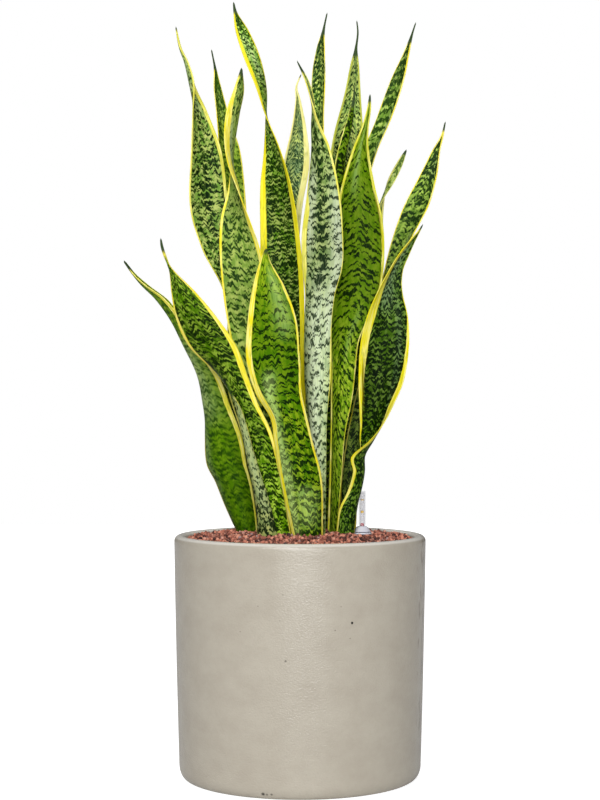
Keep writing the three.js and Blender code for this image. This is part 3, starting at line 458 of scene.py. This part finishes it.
def leafSurface(look):
    # point(s, z) = middle(z) + s * half chord(z) + chord normal(z) * sag(z) * (1 - s * s), moved to the
    # front or the back by the half thickness, which runs out in a round at both margins; s goes from -1 at
    # margin a to 1 at margin b over the front and back again, and the last row closes in the tip
    rows, share = stationRows(look["stations"])
    z, ax, ay, bx, by, sag = (rows[:, k, None] for k in range(6))
    columns = leafBlade["columns"]
    s = -np.cos(np.linspace(0, np.pi, columns + 1))
    halfX, halfY = (bx - ax) / 2, (by - ay) / 2
    halfChord = np.hypot(halfX, halfY)
    normalX, normalY = -halfY / halfChord, halfX / halfChord
    middle = np.stack([(ax + bx) / 2 + s * halfX + normalX * sag * (1 - s * s),
                       (ay + by) / 2 + s * halfY + normalY * sag * (1 - s * s), z + 0 * s], -1)
    steps = np.linalg.norm(np.diff(middle, axis=1), axis=2)
    fromA = np.concatenate([0 * z, np.cumsum(steps, 1)], 1)
    fromB = fromA[:, -1:] - fromA
    slopeX = halfX - 2 * normalX * sag * s
    slopeY = halfY - 2 * normalY * sag * s
    margin = leafBlade["marginThickness"] / 2
    thickness = np.interp(share, [0, leafBlade["thinFrom"]],
                          [leafBlade["footThickness"], leafBlade["upperThickness"]])
    centre = np.maximum(np.minimum(thickness[:, None] / 2, leafBlade["widthShare"] * halfChord), margin)
    rounding = np.minimum(margin, fromA[:, -1:] / 2)
    inward = np.clip(np.minimum(fromA, fromB) / rounding, 0, 1)
    half = (margin + (centre - margin) * (1 - s * s)) * np.sqrt(1 - (1 - inward) ** 2)
    across = np.stack([slopeY, -slopeX, 0 * slopeX], -1)
    outward = across / np.hypot(slopeX, slopeY)[..., None] * half[..., None]
    back = slice(columns - 1, 0, -1)
    points = np.concatenate([middle + outward, (middle - outward)[:, back]], 1)[:-1].reshape(-1, 3)
    rib = middle[:, columns // 2]
    along = np.concatenate([[0], np.cumsum(np.linalg.norm(np.diff(rib, axis=0), axis=1))])
    level = {key: np.interp(z, *zip(*look[key]))
             for key in ("bandA", "bandB", "cover", "ribCover", "pale", "shade", "deepShade")}
    # depth carries painted shade: the whole leaf, margins too, is darker where it stands deep among the
    # others
    shared = dict(along=along[:, None] + 0 * s, vein=s * fromA[:, -1].max() / 2 + 0 * z,
                  band=np.maximum(level["bandA"] - fromA, level["bandB"] - fromB),
                  tipDistance=along[-1] - along[:, None] + 0 * s,
                  cover=level["cover"] + level["ribCover"] * np.exp(-(s / leafPaint["ribWidth"]) ** 2),
                  pale=level["pale"] + 0 * s, shade=level["shade"] + 0 * s, deepShade=level["deepShade"] + 0 * s,
                  sheenBloom=sheenBloomShare(z, s, look["sheenBlooms"]),
                  creaseShadow=creaseShadowShare(z, fromA, fromB, look["creaseShadows"]))
    loop = 2 * columns
    attributes = {}
    for key, values in shared.items():
        around = np.concatenate([values, values[:, back]], 1)[:-1].ravel()
        attributes[key] = np.append(around, values[-1, columns // 2])
    tip = np.append(rows[-1, [1, 2]] + rows[-1, [3, 4]], 2 * rows[-1, 0]) / 2
    last = len(points) - loop
    around = np.arange(loop)
    tipFaces = np.stack([last + around, last + (around + 1) % loop, np.full(loop, len(points))], -1)
    across = np.arange(1, columns - 1)
    footFaces = np.stack([across + 1, across, loop - across, loop - across - 1], -1)
    footEnds = np.array([[1, 0, loop - 1], [columns, columns - 1, columns + 1]])
    faces = [loopFaces(len(rows) - 1, loop), tipFaces, footFaces, footEnds]
    return np.vstack([points, tip]), faces, attributes


# Noises that paint a leaf: the width and the length of their cells in mm, and their detail
leafNoises = dict(strips=(1.8, 26, 1), zigzags=(6, 40, 1), rowShifts=(14, 16, 1), patches=(11, 14, 1),
                  ragged=(1.6, 6, 1), fineStreaks=(2.6, 24, 2), broadStreaks=(7, 9, 2),
                  waxStreaks=(1.4, 18, 2), bandEdge=(2.5, 7, 1), paleStreaks=(1.6, 22, 1),
                  dullPatches=(3, 12, 2), grain=(0.9, 60, 2))

# Shares from 0 to 1: what is read, where the share starts and ends, and its values there
leafShares = dict(ragged=("ragged", 0.3, 0.55, 0.8, 1), streaks=("streaks", 0.63, 0.97, 0, 1),
                  sheenWax=("waxStreaks", 0.3, 0.6, 0.55, 1), paleBand=("paleStreaks", 0.4, 0.66, 0, 1),
                  dullBand=("dullPatches", 0.55, 0.75, 0, 0.5), innerBand=("inside", 0.5, 1.2, 0.35, 0),
                  inBand=("inside", 0.3, 0.9, 0, 1))

# Layers of colour: the ground runs from green to light in streaks, is greener round the marks, and lies
# under the painted sheen over the waxy coat and the marks; the band is streaked along and duller at its
# inner edge; the leaf takes the band, the painted shadow lines and the dry tip. Each result has its first
# tone, the shares and tones laid over it, and the attribute that scales its brightness, painted light and
# shade by height
leafLayers = dict(
    ground=("green", (("streaks", "light"), ("halo", "green"), ("sheenWax", "sheenBloomTone"), ("dark", "dark"),
                      ("thinSheenWax", "sheenBloomTone")), "shade"),
    yellowBand=("yellow", (("paleBand", "paleYellow"), ("dullBand", "marginTone"),
                           ("innerBand", "marginTone")), None),
    leaf=("ground", (("inBand", "yellowBand"), ("creaseShadow", "creaseShadowTone"), ("atTip", "tip")), "deepShade"))


def leafMaterial(name, look):
    # living leaf with a pale waxy coat: painted satin sheen over cross bands of dark marks, which break into
    # steps between the long veins, clean yellow margins, painted shadow lines where a margin folds, and
    # painted light and shade by height
    material, tree, sockets = newMaterial(name + "_waxed_leaf", {
        "Roughness": leafPaint["roughness"], "Specular IOR Level": leafPaint["specular"]})
    value = {key: addNode(tree, "Attribute", output="Fac", attribute_name=key)
             for key in ("along", "vein", "band", "tipDistance", "cover", "pale", "shade", "deepShade", "sheenBloom",
                         "creaseShadow")}
    seed = look["seed"]
    place = addNode(tree, "CombineXYZ", value["vein"], value["along"], seed * leafPaint["noiseSeed"])
    for key, (width, length, detail) in leafNoises.items():
        scaled = addNode(tree, "VectorMath", place, (1 / width, 1 / length, 1), operation="MULTIPLY")
        value[key] = addNode(tree, "TexNoise", scaled, 1, detail)

    # The marks' level: the place along the leaf, shifted by strips between the veins, by broad zigzags, by
    # the slant and by the distance from the rib
    value["fromRib"] = addNode(tree, "Math", value["vein"], operation="ABSOLUTE")
    level = value["along"]
    for key, factor in dict(strips="jag", zigzags="zigzag", vein="slant", fromRib="chevron").items():
        level = addNode(tree, "Math", value[key], look[factor], level, operation="MULTIPLY_ADD")

    # Short marks in rows: a noise that is longer across than along, raised and lowered by waves along the
    # leaf and by patches, is dark where it passes a threshold that falls as the cover grows
    phase = addNode(tree, "Math", value["rowShifts"], leafPaint["rowShift"], level,
                    operation="MULTIPLY_ADD")
    turns = addNode(tree, "Math", phase, 2 * np.pi / look["period"], operation="MULTIPLY")
    value["wave"] = addNode(tree, "Math", turns, operation="SINE")
    markPlace = addNode(tree, "CombineXYZ", value["vein"], level, seed * leafPaint["markSeed"])
    markScale = (1 / look["markWidth"], 1 / look["markLength"], 1)
    scaled = addNode(tree, "VectorMath", markPlace, markScale, operation="MULTIPLY")
    marks = addNode(tree, "TexNoise", scaled, 1, 1)
    for key, factor in (("wave", look["rows"]), ("patches", leafPaint["patches"]),
                        ("cover", leafPaint["cover"])):
        marks = addNode(tree, "Math", value[key], factor, marks, operation="MULTIPLY_ADD")
    value["marks"] = marks
    for key, source, factor, added in (("streaks", "fineStreaks", "fineStreaks", "broadStreaks"),
                                       ("inside", "bandEdge", "bandRagged", "band")):
        value[key] = addNode(tree, "Math", value[source], leafPaint[factor], value[added],
                             operation="MULTIPLY_ADD")

    middle, soft, needle, fade = leafPaint["markLevel"], look["soft"], look["needle"], leafPaint["tipFade"]
    ramps = leafShares | dict(dark=("marks", middle - soft, middle + soft, 0, 1),
                              halo=("marks", *leafPaint["haloLevels"], 0, look["halo"]),
                              atTip=("tipDistance", needle - fade, needle + fade, 1, 0))
    share = dict(creaseShadow=value["creaseShadow"])
    for key, (source, *ends) in ramps.items():
        share[key] = addNode(tree, "MapRange", value[source], *ends, interpolation_type="SMOOTHSTEP")
    # wax becomes the painted sheen's share where each leaf lists it, and thinSheenWax the thin painted sheen
    # over the marks
    for key, source, factor in (("dark", "dark", share["ragged"]), ("streaks", "streaks", value["pale"]),
                                ("sheenWax", "sheenWax", value["sheenBloom"]), ("thinSheenWax", "sheenWax", look["veil"])):
        share[key] = addNode(tree, "Math", share[source], factor, operation="MULTIPLY")

    tones = look | dict(tip=leafPaint["tip"], creaseShadowTone=leafPaint["creaseShadow"])
    colour = {key: linearColour(tones[key]) for key in ("green", "light", "dark", "sheenBloomTone", "yellow",
                                                        "paleYellow", "marginTone", "tip", "creaseShadowTone")}
    for result, (start, layers, brightness) in leafLayers.items():
        blend = colour[start]
        for key, tone in layers:
            blend = addNode(tree, "Mix", share[key], blend, colour[tone], data_type="RGBA")
        # shade and depth scale the brightness: painted light and shade by height, and painted shade deep
        # among the leaves
        if brightness:
            blend = addNode(tree, "VectorMath", blend, value[brightness], operation="SCALE")
        colour[result] = blend
    bump = addNode(tree, "Bump", inputs={"Height": value["grain"], "Strength": leafPaint["grainStrength"],
                                         "Distance": leafPaint["grainHeight"] * mm})
    tree.links.new(colour["leaf"], sockets["Base Color"])
    tree.links.new(bump, sockets["Normal"])
    return material


for seed, (name, own) in enumerate(leaves.items(), 1):
    look = commonLook | own | dict(seed=seed)
    vertices, faces, attributes = leafSurface(look)
    blade = addPiece(name + "_blade", vertices, faces, leafMaterial(name, look), attributes)
    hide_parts(name)
print("leaves made,", len(leaves))


# Pot

pot = dict(height=268, footRadius=134.4, middleRadius=137.5, middleHeight=130, lipRadius=140, wall=13,
           floor=14, footRound=(8, 14), insideFootRadius=122, insideRound=8, flatRadius=60, sides=180,
           wallRows=44, insideRows=12)


def insideRadius(z):
    return np.interp(z, [pot["floor"], pot["height"] - pot["wall"] / 2],
                     [pot["insideFootRadius"], pot["lipRadius"] - pot["wall"]])


def potProfile():
    # foot round, a wall that widens on a shallow curve to the lip, a round lip and the straight inside
    lip = pot["wall"] / 2
    lipHeight = pot["height"] - lip
    width, height = pot["footRound"]
    foot = arcPoints((pot["footRadius"] - width, height), width, height, -90, 0, steps=14)
    z = np.linspace(height, lipHeight, pot["wallRows"])[1:-1]
    curve = np.polyfit([height, pot["middleHeight"], lipHeight],
                       [pot["footRadius"], pot["middleRadius"], pot["lipRadius"]], 2)
    wall = np.stack([np.polyval(curve, z), z], -1)
    rim = arcPoints((pot["lipRadius"] - lip, lipHeight), lip, lip, 0, 180, steps=24)
    inside = pot["insideRound"]
    down = np.linspace(lipHeight, pot["floor"] + inside, pot["insideRows"])[1:-1]
    wallIn = np.stack([insideRadius(down), down], -1)
    turn = arcPoints((pot["insideFootRadius"] - inside, pot["floor"] + inside), inside, inside, 0, -90,
                     steps=6)
    bottom, floor = [[0, 0], [pot["flatRadius"], 0]], [[pot["flatRadius"], pot["floor"]], [0, pot["floor"]]]
    return np.vstack([bottom, foot, wall, rim, wallIn, turn, floor])


# clouds and runs say where those noises start to show and where they are full. The lip's tone, partly the
# glaze's own and partly painted light, comes in from lipFrom to lipTo up the wall, the brown from
# stainShadeFrom to stainShadeTo across to the right, partly runs and partly painted shade and reflection.
# Pinholes are x, z, size and strength, on the front of the wall. Lengths in mm
glazeLook = dict(deep="#AAA294", pale="#B4AD9F", lip="#D8D3CA", stainAndShade="#6A5A46", pinhole="#120E0A",
                 clouds=(0.32, 0.68), runs=(0.8, 1), lipFrom=264.4, lipTo=266.4, stainShadeFrom=120, stainShadeTo=137,
                 stainShadeGain=0.42, stainShadeShare=0.7, pinholeCore=0.6, roughness=0.2, ior=1.5,
                 grainStrength=0.5, grainHeight=0.7,
                 pinholes=[(54.4, 185, 1.7, 1), (36.6, 178, 1, 0.45), (52.3, 169, 1, 0.4),
                           (42.8, 202.5, 0.9, 0.3), (-17.7, 215.5, 1, 0.3), (-43.8, 203, 1, 0.3),
                           (-62.6, 175.5, 0.9, 0.3), (-20.8, 188.5, 0.9, 0.3), (-15, 146.5, 1.4, 0.6),
                           (-39, 5.5, 3, 0.9), (-35, 5, 2.6, 0.9), (-30, 5.5, 2.4, 0.9),
                           (-22, 5, 1.6, 0.8)])

# Noises of the glaze: the cells' size in mm, how far they are pressed together upright, detail, roughness
glazeNoises = dict(clouds=(38.46, 1.4, 9, 0.68), runs=(6.667, 0.35, 6, 0.5), grain=(2.381, 1.4, 2, 0.5))


def potMaterial():
    # stoneware under a poured warm grey glaze: a glassy skin over faint clouds, paler over the lip, partly
    # where it thins and partly painted light on the lip's top, brown down the right side, partly runs and
    # partly painted shade and reflection, and a few dark pinholes
    material, tree, sockets = newMaterial("glazed_stoneware", {
        "Roughness": glazeLook["roughness"], "IOR": glazeLook["ior"]})
    place = addNode(tree, "TexCoord", output="Object")
    noise = {}
    for key, (size, upright, *settings) in glazeNoises.items():
        stretched = addNode(tree, "VectorMath", place, (1, 1, upright), operation="MULTIPLY")
        noise[key] = addNode(tree, "TexNoise", stretched, 1 / (size * mm), *settings)
    clouded = addNode(tree, "MapRange", noise["clouds"], *glazeLook["clouds"])
    height = addNode(tree, "SeparateXYZ", place, output="Z")
    # the lip's pale tone: partly the thinner glaze, partly painted light on the lip's top
    paleAndLitLip = addNode(tree, "MapRange", height, glazeLook["lipFrom"] * mm, glazeLook["lipTo"] * mm,
                    interpolation_type="SMOOTHSTEP")
    side = addNode(tree, "SeparateXYZ", place, output="X")
    # the brown towards the right side: partly runs in the glaze, partly painted shade and reflection of that
    # side
    nearSide = addNode(tree, "MapRange", side, glazeLook["stainShadeFrom"] * mm, glazeLook["stainShadeTo"] * mm,
                       0, glazeLook["stainShadeGain"])
    stainedAndShaded = addNode(tree, "Math", noise["runs"], nearSide, operation="ADD")
    stainedAndShaded = addNode(tree, "MapRange", stainedAndShaded, *glazeLook["runs"], 0, glazeLook["stainShadeShare"])
    layers = [(clouded, "pale"), (paleAndLitLip, "lip"), (stainedAndShaded, "stainAndShade")]
    for x, z, size, strength in glazeLook["pinholes"]:
        radius = np.interp(z, [0, pot["middleHeight"], pot["height"]],
                           [pot["footRadius"], pot["middleRadius"], pot["lipRadius"]])
        spot = np.array([x, -np.sqrt(radius ** 2 - x * x), z]) * mm
        distance = addNode(tree, "VectorMath", place, spot, operation="DISTANCE")
        core = size * glazeLook["pinholeCore"]
        layers.append((addNode(tree, "MapRange", distance, size * mm, core * mm, 0, strength), "pinhole"))
    glaze = linearColour(glazeLook["deep"])
    for share, tone in layers:
        glaze = addNode(tree, "Mix", share, glaze, linearColour(glazeLook[tone]), data_type="RGBA")
    bump = addNode(tree, "Bump", inputs={"Height": noise["grain"], "Strength": glazeLook["grainStrength"],
                                         "Distance": glazeLook["grainHeight"] * mm})
    tree.links.new(glaze, sockets["Base Color"])
    tree.links.new(bump, sockets["Normal"])
    return material


vertices, faces = turnedSurface(potProfile(), pot["sides"])
potPiece = addPiece("pot_glazed", vertices, faces, potMaterial())
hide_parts("pot")
print("pot made")


# Clay granules on the bed

# gap is what stays free at the pot's wall, edge and topEdge keep the granules in from the bed's rim, shift
# moves them in their net, whose rows lie rowStep spacings apart, and sink, lift and topLift set how high
# they lie. dip is the hollow in front of the gauge. dent and squash shape a rock
bed = dict(edgeHeight=264.5, domeRise=6, under=3.8, bottom=250.2, bottomInset=1, gap=0.5, rings=30,
           spokes=90, spacing=3.9, rowStep=0.866, shift=0.28, extra=800, edge=1.4, topEdge=5, sink=1.2,
           lift=(-1.2, 0.6), topLift=(1.6, 2.6), clear=1, clearHeight=4, gaugeClear=9.5, dip=4.4,
           dipWidth=17, dipLength=24, dipAhead=17, rockRings=3, rockSides=6, size=(3.0, 4.6),
           dent=(0.82, 1.12), squash=(0.8, 1.15), sectionPoints=25)
bedRadius = float(insideRadius(bed["edgeHeight"])) - bed["gap"]

# The water gauge's sizes, here because the granules keep clear of it. play is between its foot and its tube
gauge = dict(x=70.2, y=22, tubeRadius=3.7, tubeBore=2.7, tubeBottom=30, tubeTop=315.3, cap=1.5,
             tubeRound=0.5, play=0.4, collar=1, footRadius=10.9, footBottom=266.2, flangeTop=269,
             footTop=275.8, footBulge=0.7, shoulder=0.6, floatRadius=2.3, rodRadius=0.9, floatBottom=42,
             floatTop=95, beadBottom=274.8, beadTop=279.4, domeRows=10, sides=48)


def bedHeight(radius):
    # height(radius) = edge + rise * (1 - (radius / bed radius) ** 2)
    return bed["edgeHeight"] + bed["domeRise"] * (1 - (radius / bedRadius) ** 2)


def clearOfLeaves(points):
    # true where a point stands clear of every leaf's section at the bed's height
    clear = np.ones(len(points), bool)
    for look in leaves.values():
        rows, share = stationRows(look["stations"])
        level = np.argmin(abs(rows[:, 0] - bed["edgeHeight"] - bed["clearHeight"]))
        z, ax, ay, bx, by, sag = rows[level]
        s = np.linspace(-1, 1, bed["sectionPoints"])[:, None]
        half = np.array([bx - ax, by - ay]) / 2
        normal = np.array([-half[1], half[0]]) / np.hypot(*half)
        section = np.array([ax + bx, ay + by]) / 2 + s * half + normal * sag * (1 - s * s)
        gap = np.linalg.norm(points[:, None] - section, axis=2).min(1)
        clear &= gap > bed["clear"] + leafBlade["footThickness"] / 2
    return clear


def granuleCentres():
    # a hexagonal net with every point shifted at random, and some more granules lying on top of it
    count = int(bedRadius / bed["spacing"]) + 2
    i, j = np.meshgrid(np.arange(-count, count + 1), np.arange(-count * 2, count * 2 + 1))
    net = np.stack([(i + 0.5 * (j % 2)) * bed["spacing"], j * bed["spacing"] * bed["rowStep"]], -1)
    net = net.reshape(-1, 2)
    net = net + randomDraw.uniform(-bed["shift"], bed["shift"], net.shape) * bed["spacing"]
    low = net[np.hypot(*net.T) < bedRadius - bed["edge"]]
    angle = randomDraw.uniform(0, 2 * np.pi, bed["extra"])
    radius = (bedRadius - bed["topEdge"]) * np.sqrt(randomDraw.uniform(0, 1, bed["extra"]))
    high = np.stack([radius * np.cos(angle), radius * np.sin(angle)], -1)
    lift = np.concatenate([randomDraw.uniform(*bed["lift"], len(low)),
                           randomDraw.uniform(*bed["topLift"], len(high))])
    spots = np.vstack([low, high])
    fromGauge = np.hypot(spots[:, 0] - gauge["x"], spots[:, 1] - gauge["y"])
    keep = clearOfLeaves(spots) & (fromGauge > bed["gaugeClear"])
    spots, lift = spots[keep], lift[keep]
    aside, before = spots[:, 0] - gauge["x"], spots[:, 1] - gauge["y"] + bed["dipAhead"]
    lift = lift - bed["dip"] * np.exp(-(aside / bed["dipWidth"]) ** 2 - (before / bed["dipLength"]) ** 2)
    return np.column_stack([spots, bedHeight(np.hypot(*spots.T)) - bed["sink"] + lift])


def granuleRocks(centres):
    # each rock is a ball of a few rings, its points pushed in and out, squashed and turned at random
    polar = np.linspace(0, np.pi, bed["rockRings"] + 2)
    ball, ballFaces = turnedSurface(np.column_stack([np.sin(polar), np.cos(polar)]), bed["rockSides"])
    count = len(centres)
    shape = ball * randomDraw.uniform(*bed["dent"], (count, len(ball), 1))
    shape = shape * randomDraw.uniform(*bed["squash"], (count, 1, 3))
    quaternion = randomDraw.normal(size=(count, 4))
    w, x, y, z = (quaternion / np.linalg.norm(quaternion, axis=1, keepdims=True)).T
    turns = np.stack([1 - 2 * (y * y + z * z), 2 * (x * y - z * w), 2 * (x * z + y * w),
                      2 * (x * y + z * w), 1 - 2 * (x * x + z * z), 2 * (y * z - x * w),
                      2 * (x * z - y * w), 2 * (y * z + x * w), 1 - 2 * (x * x + y * y)], -1)
    radius = randomDraw.uniform(*bed["size"], count)[:, None, None] / 2
    vertices = centres[:, None] + np.einsum("nij,nkj->nki", turns.reshape(-1, 3, 3), shape) * radius
    shift = np.arange(count)[:, None, None] * len(ball)
    # the ball's profile runs downwards, so its faces are turned round to point outwards
    faces = [(part[:, ::-1] + shift).reshape(-1, part.shape[1]) for part in ballFaces]
    grain = np.repeat(randomDraw.uniform(0, 1, count), len(ball))
    return vertices.reshape(-1, 3), faces, dict(grain=grain)


granuleLook = dict(roughness=0.85, tones=[(0.0, "#3A2222"), (0.22, "#6A3E34"), (0.42, "#A05E4C"),
                                          (0.7, "#C47C66"), (0.9, "#E09A80"), (1.0, "#A08684")])


def granuleMaterial():
    # fired clay balls, dusty and matt: from terracotta to dark burnt brown, one tone to each granule
    material, tree, sockets = newMaterial("fired_clay_granules", {"Roughness": granuleLook["roughness"]})
    grain = addNode(tree, "Attribute", output="Fac", attribute_name="grain")
    tone = addNode(tree, "ValToRGB", grain)
    stops = tone.node.color_ramp.elements
    while len(stops) < len(granuleLook["tones"]):
        stops.new(0.5)
    for stop, (position, hexText) in zip(stops, granuleLook["tones"]):
        stop.position = position
        stop.color = linearColour(hexText)
    tree.links.new(tone, sockets["Base Color"])
    return material


centres = granuleCentres()
vertices, faces, attributes = granuleRocks(centres)
granules = addPiece("granule_rocks", vertices, faces, granuleMaterial(), attributes)
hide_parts("clay_granules")
print("granules made,", len(centres))


# Water gauge, each profile as (radius, height) from its own axis

def tubeProfile():
    # the tube, closed at its top, from the bore's ceiling round to the top
    bore, outer, edge = gauge["tubeBore"], gauge["tubeRadius"], gauge["tubeRound"]
    low, high = gauge["tubeBottom"], gauge["tubeTop"]
    ceiling = high - gauge["cap"]
    top = arcPoints((outer - edge, high - edge), edge, edge, 0, 90, steps=4)
    wall = [[0, ceiling], [bore, ceiling], [bore, low], [outer, low], [outer, low + 1]]
    return np.vstack([wall, top, [[0, high]]])


def footProfile():
    # a round flange, and a dome that rises a little bulged to the collar round the tube
    bore = gauge["tubeRadius"] + gauge["play"]
    low, flange, high = gauge["footBottom"], gauge["flangeTop"], gauge["footTop"]
    edge = (flange - low) / 2
    rim = arcPoints((gauge["footRadius"] - edge, low + edge), edge, edge, -90, 60, steps=10)
    shoulder = gauge["footRadius"] - edge * gauge["shoulder"]
    up = np.linspace(0, 1, gauge["domeRows"])
    dome = np.stack([shoulder + up * (bore + gauge["collar"] - shoulder),
                     flange + up * (high - flange) + gauge["footBulge"] * np.sin(np.pi * up)], -1)
    return np.vstack([[[bore, low]], rim, dome, [[bore, high]]])


def floatProfile():
    # the float down in the tube, its rod, and the bead that shows above the foot
    radius, rod = gauge["floatRadius"], gauge["rodRadius"]
    low, high = gauge["floatBottom"], gauge["floatTop"]
    half = (gauge["beadTop"] - gauge["beadBottom"]) / 2
    bead = arcPoints((0, gauge["beadBottom"] + half), radius, half, -50, 80, steps=12)
    body = [[0, low], [radius, low + radius], [radius, high - radius], [rod, high],
            [rod, gauge["beadBottom"]]]
    return np.vstack([body, bead, [[0, gauge["beadTop"]]]])


# A mark is a bar of print, or on the foot a ring of painted shade: its height, thickness, width and tone
gaugeLooks = dict(
    gauge_tube_clear=dict(node="gauge_tube", slot="clear_plastic", finish="clear_acrylic", tone="#C0BEC8",
                          roughness=0.1, alpha=0.22, profile=tubeProfile, surface=turnedSurface,
                          marks=[(305.4, 1, 3.4, "#C8A028"), (291.9, 2.4, 3, "#C8A028")]),
    # the foot's two dark rings are painted shade, at the step from the flange to the dome and under the
    # flange
    gauge_foot_grey=dict(node="gauge_foot", slot="grey_plastic", finish="grey_moulded_plastic",
                         tone="#D2D2DC", roughness=0.12, alpha=0.95, profile=footProfile,
                         surface=ringSurface,
                         marks=[(269.3, 0.9, 30, "#36364C"), (266.6, 1, 30, "#6C6C80")]),
    gauge_float_red=dict(node="gauge_float", slot="red_plastic", finish="red_moulded_plastic",
                         tone="#D41402", roughness=0.4, alpha=1, profile=floatProfile,
                         surface=turnedSurface, marks=[]))
plasticIor = 1.49  # as of clear acrylic


def plasticMaterial(look):
    # smooth moulded plastic: even and glossy, see-through where it is thin, with its print marks and rings
    # of painted shade on it
    tone, cover = linearColour(look["tone"]), look["alpha"]
    material, tree, sockets = newMaterial(look["finish"], {
        "Base Color": tone, "Alpha": cover, "IOR": plasticIor, "Roughness": look["roughness"]})
    place = addNode(tree, "TexCoord", output="Object")
    for height, thickness, width, markTone in look["marks"]:
        centre = (gauge["x"] * mm, 0, height * mm)
        halfSize = (width * mm / 2, 1, thickness * mm / 2)
        shifted = addNode(tree, "VectorMath", place, centre, operation="SUBTRACT")
        sized = addNode(tree, "VectorMath", shifted, halfSize, operation="DIVIDE")
        apart = addNode(tree, "VectorMath", sized, operation="ABSOLUTE")
        parts = addNode(tree, "SeparateXYZ", apart).node.outputs
        farthest = addNode(tree, "Math", parts["X"], parts["Z"], operation="MAXIMUM")
        printAndShade = addNode(tree, "Math", farthest, 1, operation="LESS_THAN")
        tone = addNode(tree, "Mix", printAndShade, tone, linearColour(markTone), data_type="RGBA")
        cover = addNode(tree, "Math", cover, printAndShade, operation="MAXIMUM")
    if look["marks"]:
        tree.links.new(tone, sockets["Base Color"])
        tree.links.new(cover, sockets["Alpha"])
    return material


for name, look in gaugeLooks.items():
    vertices, faces = look["surface"](look["profile"](), gauge["sides"])
    piece = addPiece(name, vertices + [gauge["x"], gauge["y"], 0], faces, plasticMaterial(look))
    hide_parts(look["node"])
print("gauge made")


# Growing medium, and the low dark dome of painted shade that closes the gaps under the granules

# clod is the size of a lump in mm
mediumLook = dict(dark="#1E1210", light="#40281F", clod=4.348, roughness=0.95)


def mediumMaterial():
    # the same fired clay lower down, dark: its own tone in the medium, painted shade in the gaps between the
    # granules
    material, tree, sockets = newMaterial("fired_clay_and_gap_shade", {"Roughness": mediumLook["roughness"]})
    place = addNode(tree, "TexCoord", output="Object")
    cells = addNode(tree, "TexVoronoi", place, 1 / (mediumLook["clod"] * mm))
    tone = addNode(tree, "Mix", cells, linearColour(mediumLook["dark"]), linearColour(mediumLook["light"]),
                   data_type="RGBA")
    tree.links.new(tone, sockets["Base Color"])
    return material


def bedSurface():
    # the bed's height, a little under the granules' middles, closed below by a flat bottom
    radius = np.linspace(0, bedRadius, bed["rings"])
    top = np.stack([radius, bedHeight(radius) - bed["under"]], -1)[::-1]
    bottom = [[0, bed["bottom"]], [bedRadius - bed["bottomInset"], bed["bottom"]]]
    return turnedSurface(np.vstack([bottom, top]), bed["spokes"])


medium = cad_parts["growing_medium"]
medium.data.materials.clear()
medium.data.materials.append(mediumMaterial())
vertices, faces = bedSurface()
# the dome under the granules is painted shade: it makes the gaps between them dark
under = addPiece("granules_below", vertices, faces, mediumMaterial())
print("medium made")


# Stage, light and camera

stage = dict(halfSize=4000, floorHeight=-0.3, reflects=0.6, roughness=0.9, glow=0.06, seenGlow=0.85,
             sky=0.18, seenSky=1)


def floorMaterial():
    # matt white board: it glows towards the camera alone, so that it reads white and lights little else
    white = (1, 1, 1, 1)
    material, tree, sockets = newMaterial("matt_white_floor", {
        "Base Color": (*[stage["reflects"]] * 3, 1), "Emission Color": white,
        "Roughness": stage["roughness"]})
    seen = addNode(tree, "LightPath", output="Is Camera Ray")
    glow = addNode(tree, "MapRange", seen, 0, 1, stage["glow"], stage["seenGlow"])
    tree.links.new(glow, sockets["Emission Strength"])
    return material


floorCorners = np.array([[-1, -1, 0], [1, -1, 0], [1, 1, 0], [-1, 1, 0]]) * stage["halfSize"]
floorMesh = bpy.data.meshes.new("floor")
floorMesh.from_pydata(((floorCorners + [0, 0, stage["floorHeight"]]) * mm).tolist(), [], [[0, 1, 2, 3]])
floor = bpy.data.objects.new("floor", floorMesh)
bpy.context.scene.collection.objects.link(floor)
floorMesh.materials.append(floorMaterial())

world = bpy.data.worlds.new("studio")
bpy.context.scene.world = world
world.use_nodes = True
worldTree = world.node_tree
worldTree.nodes.clear()
seen = addNode(worldTree, "LightPath", output="Is Camera Ray")
strength = addNode(worldTree, "MapRange", seen, 0, 1, stage["sky"], stage["seenSky"])
sky = addNode(worldTree, "Background", (1, 1, 1, 1), strength)
addNode(worldTree, "OutputWorld", sky)

lights = dict(key=dict(energy=1.75, softness=30, tilt=52, turn=-14, gloss=True),
              fill=dict(energy=1.75, softness=40, tilt=80, turn=4, gloss=True),
              back=dict(energy=1.1, softness=60, tilt=-62, turn=10, gloss=False))
for name, setup in lights.items():
    sun = bpy.data.lights.new(name, "SUN")
    sun.energy = setup["energy"]
    sun.angle = np.radians(setup["softness"])
    lamp = bpy.data.objects.new(name, sun)
    lamp.rotation_euler = (np.radians(setup["tilt"]), 0, np.radians(setup["turn"]))
    lamp.visible_glossy = setup["gloss"]
    bpy.context.scene.collection.objects.link(lamp)

view = dict(distance=2000, height=418, lens=53.76, frameHeight=24)
camera = bpy.data.cameras.new("camera")
camera.sensor_fit = "VERTICAL"
camera.sensor_height = view["frameHeight"]
camera.lens = view["lens"]
cameraObject = bpy.data.objects.new("camera", camera)
cameraObject.location = (0, -view["distance"] * mm, view["height"] * mm)
cameraObject.rotation_euler = (np.pi / 2, 0, 0)
bpy.context.scene.collection.objects.link(cameraObject)
bpy.context.scene.camera = cameraObject
bpy.context.scene.view_settings.view_transform = "Standard"
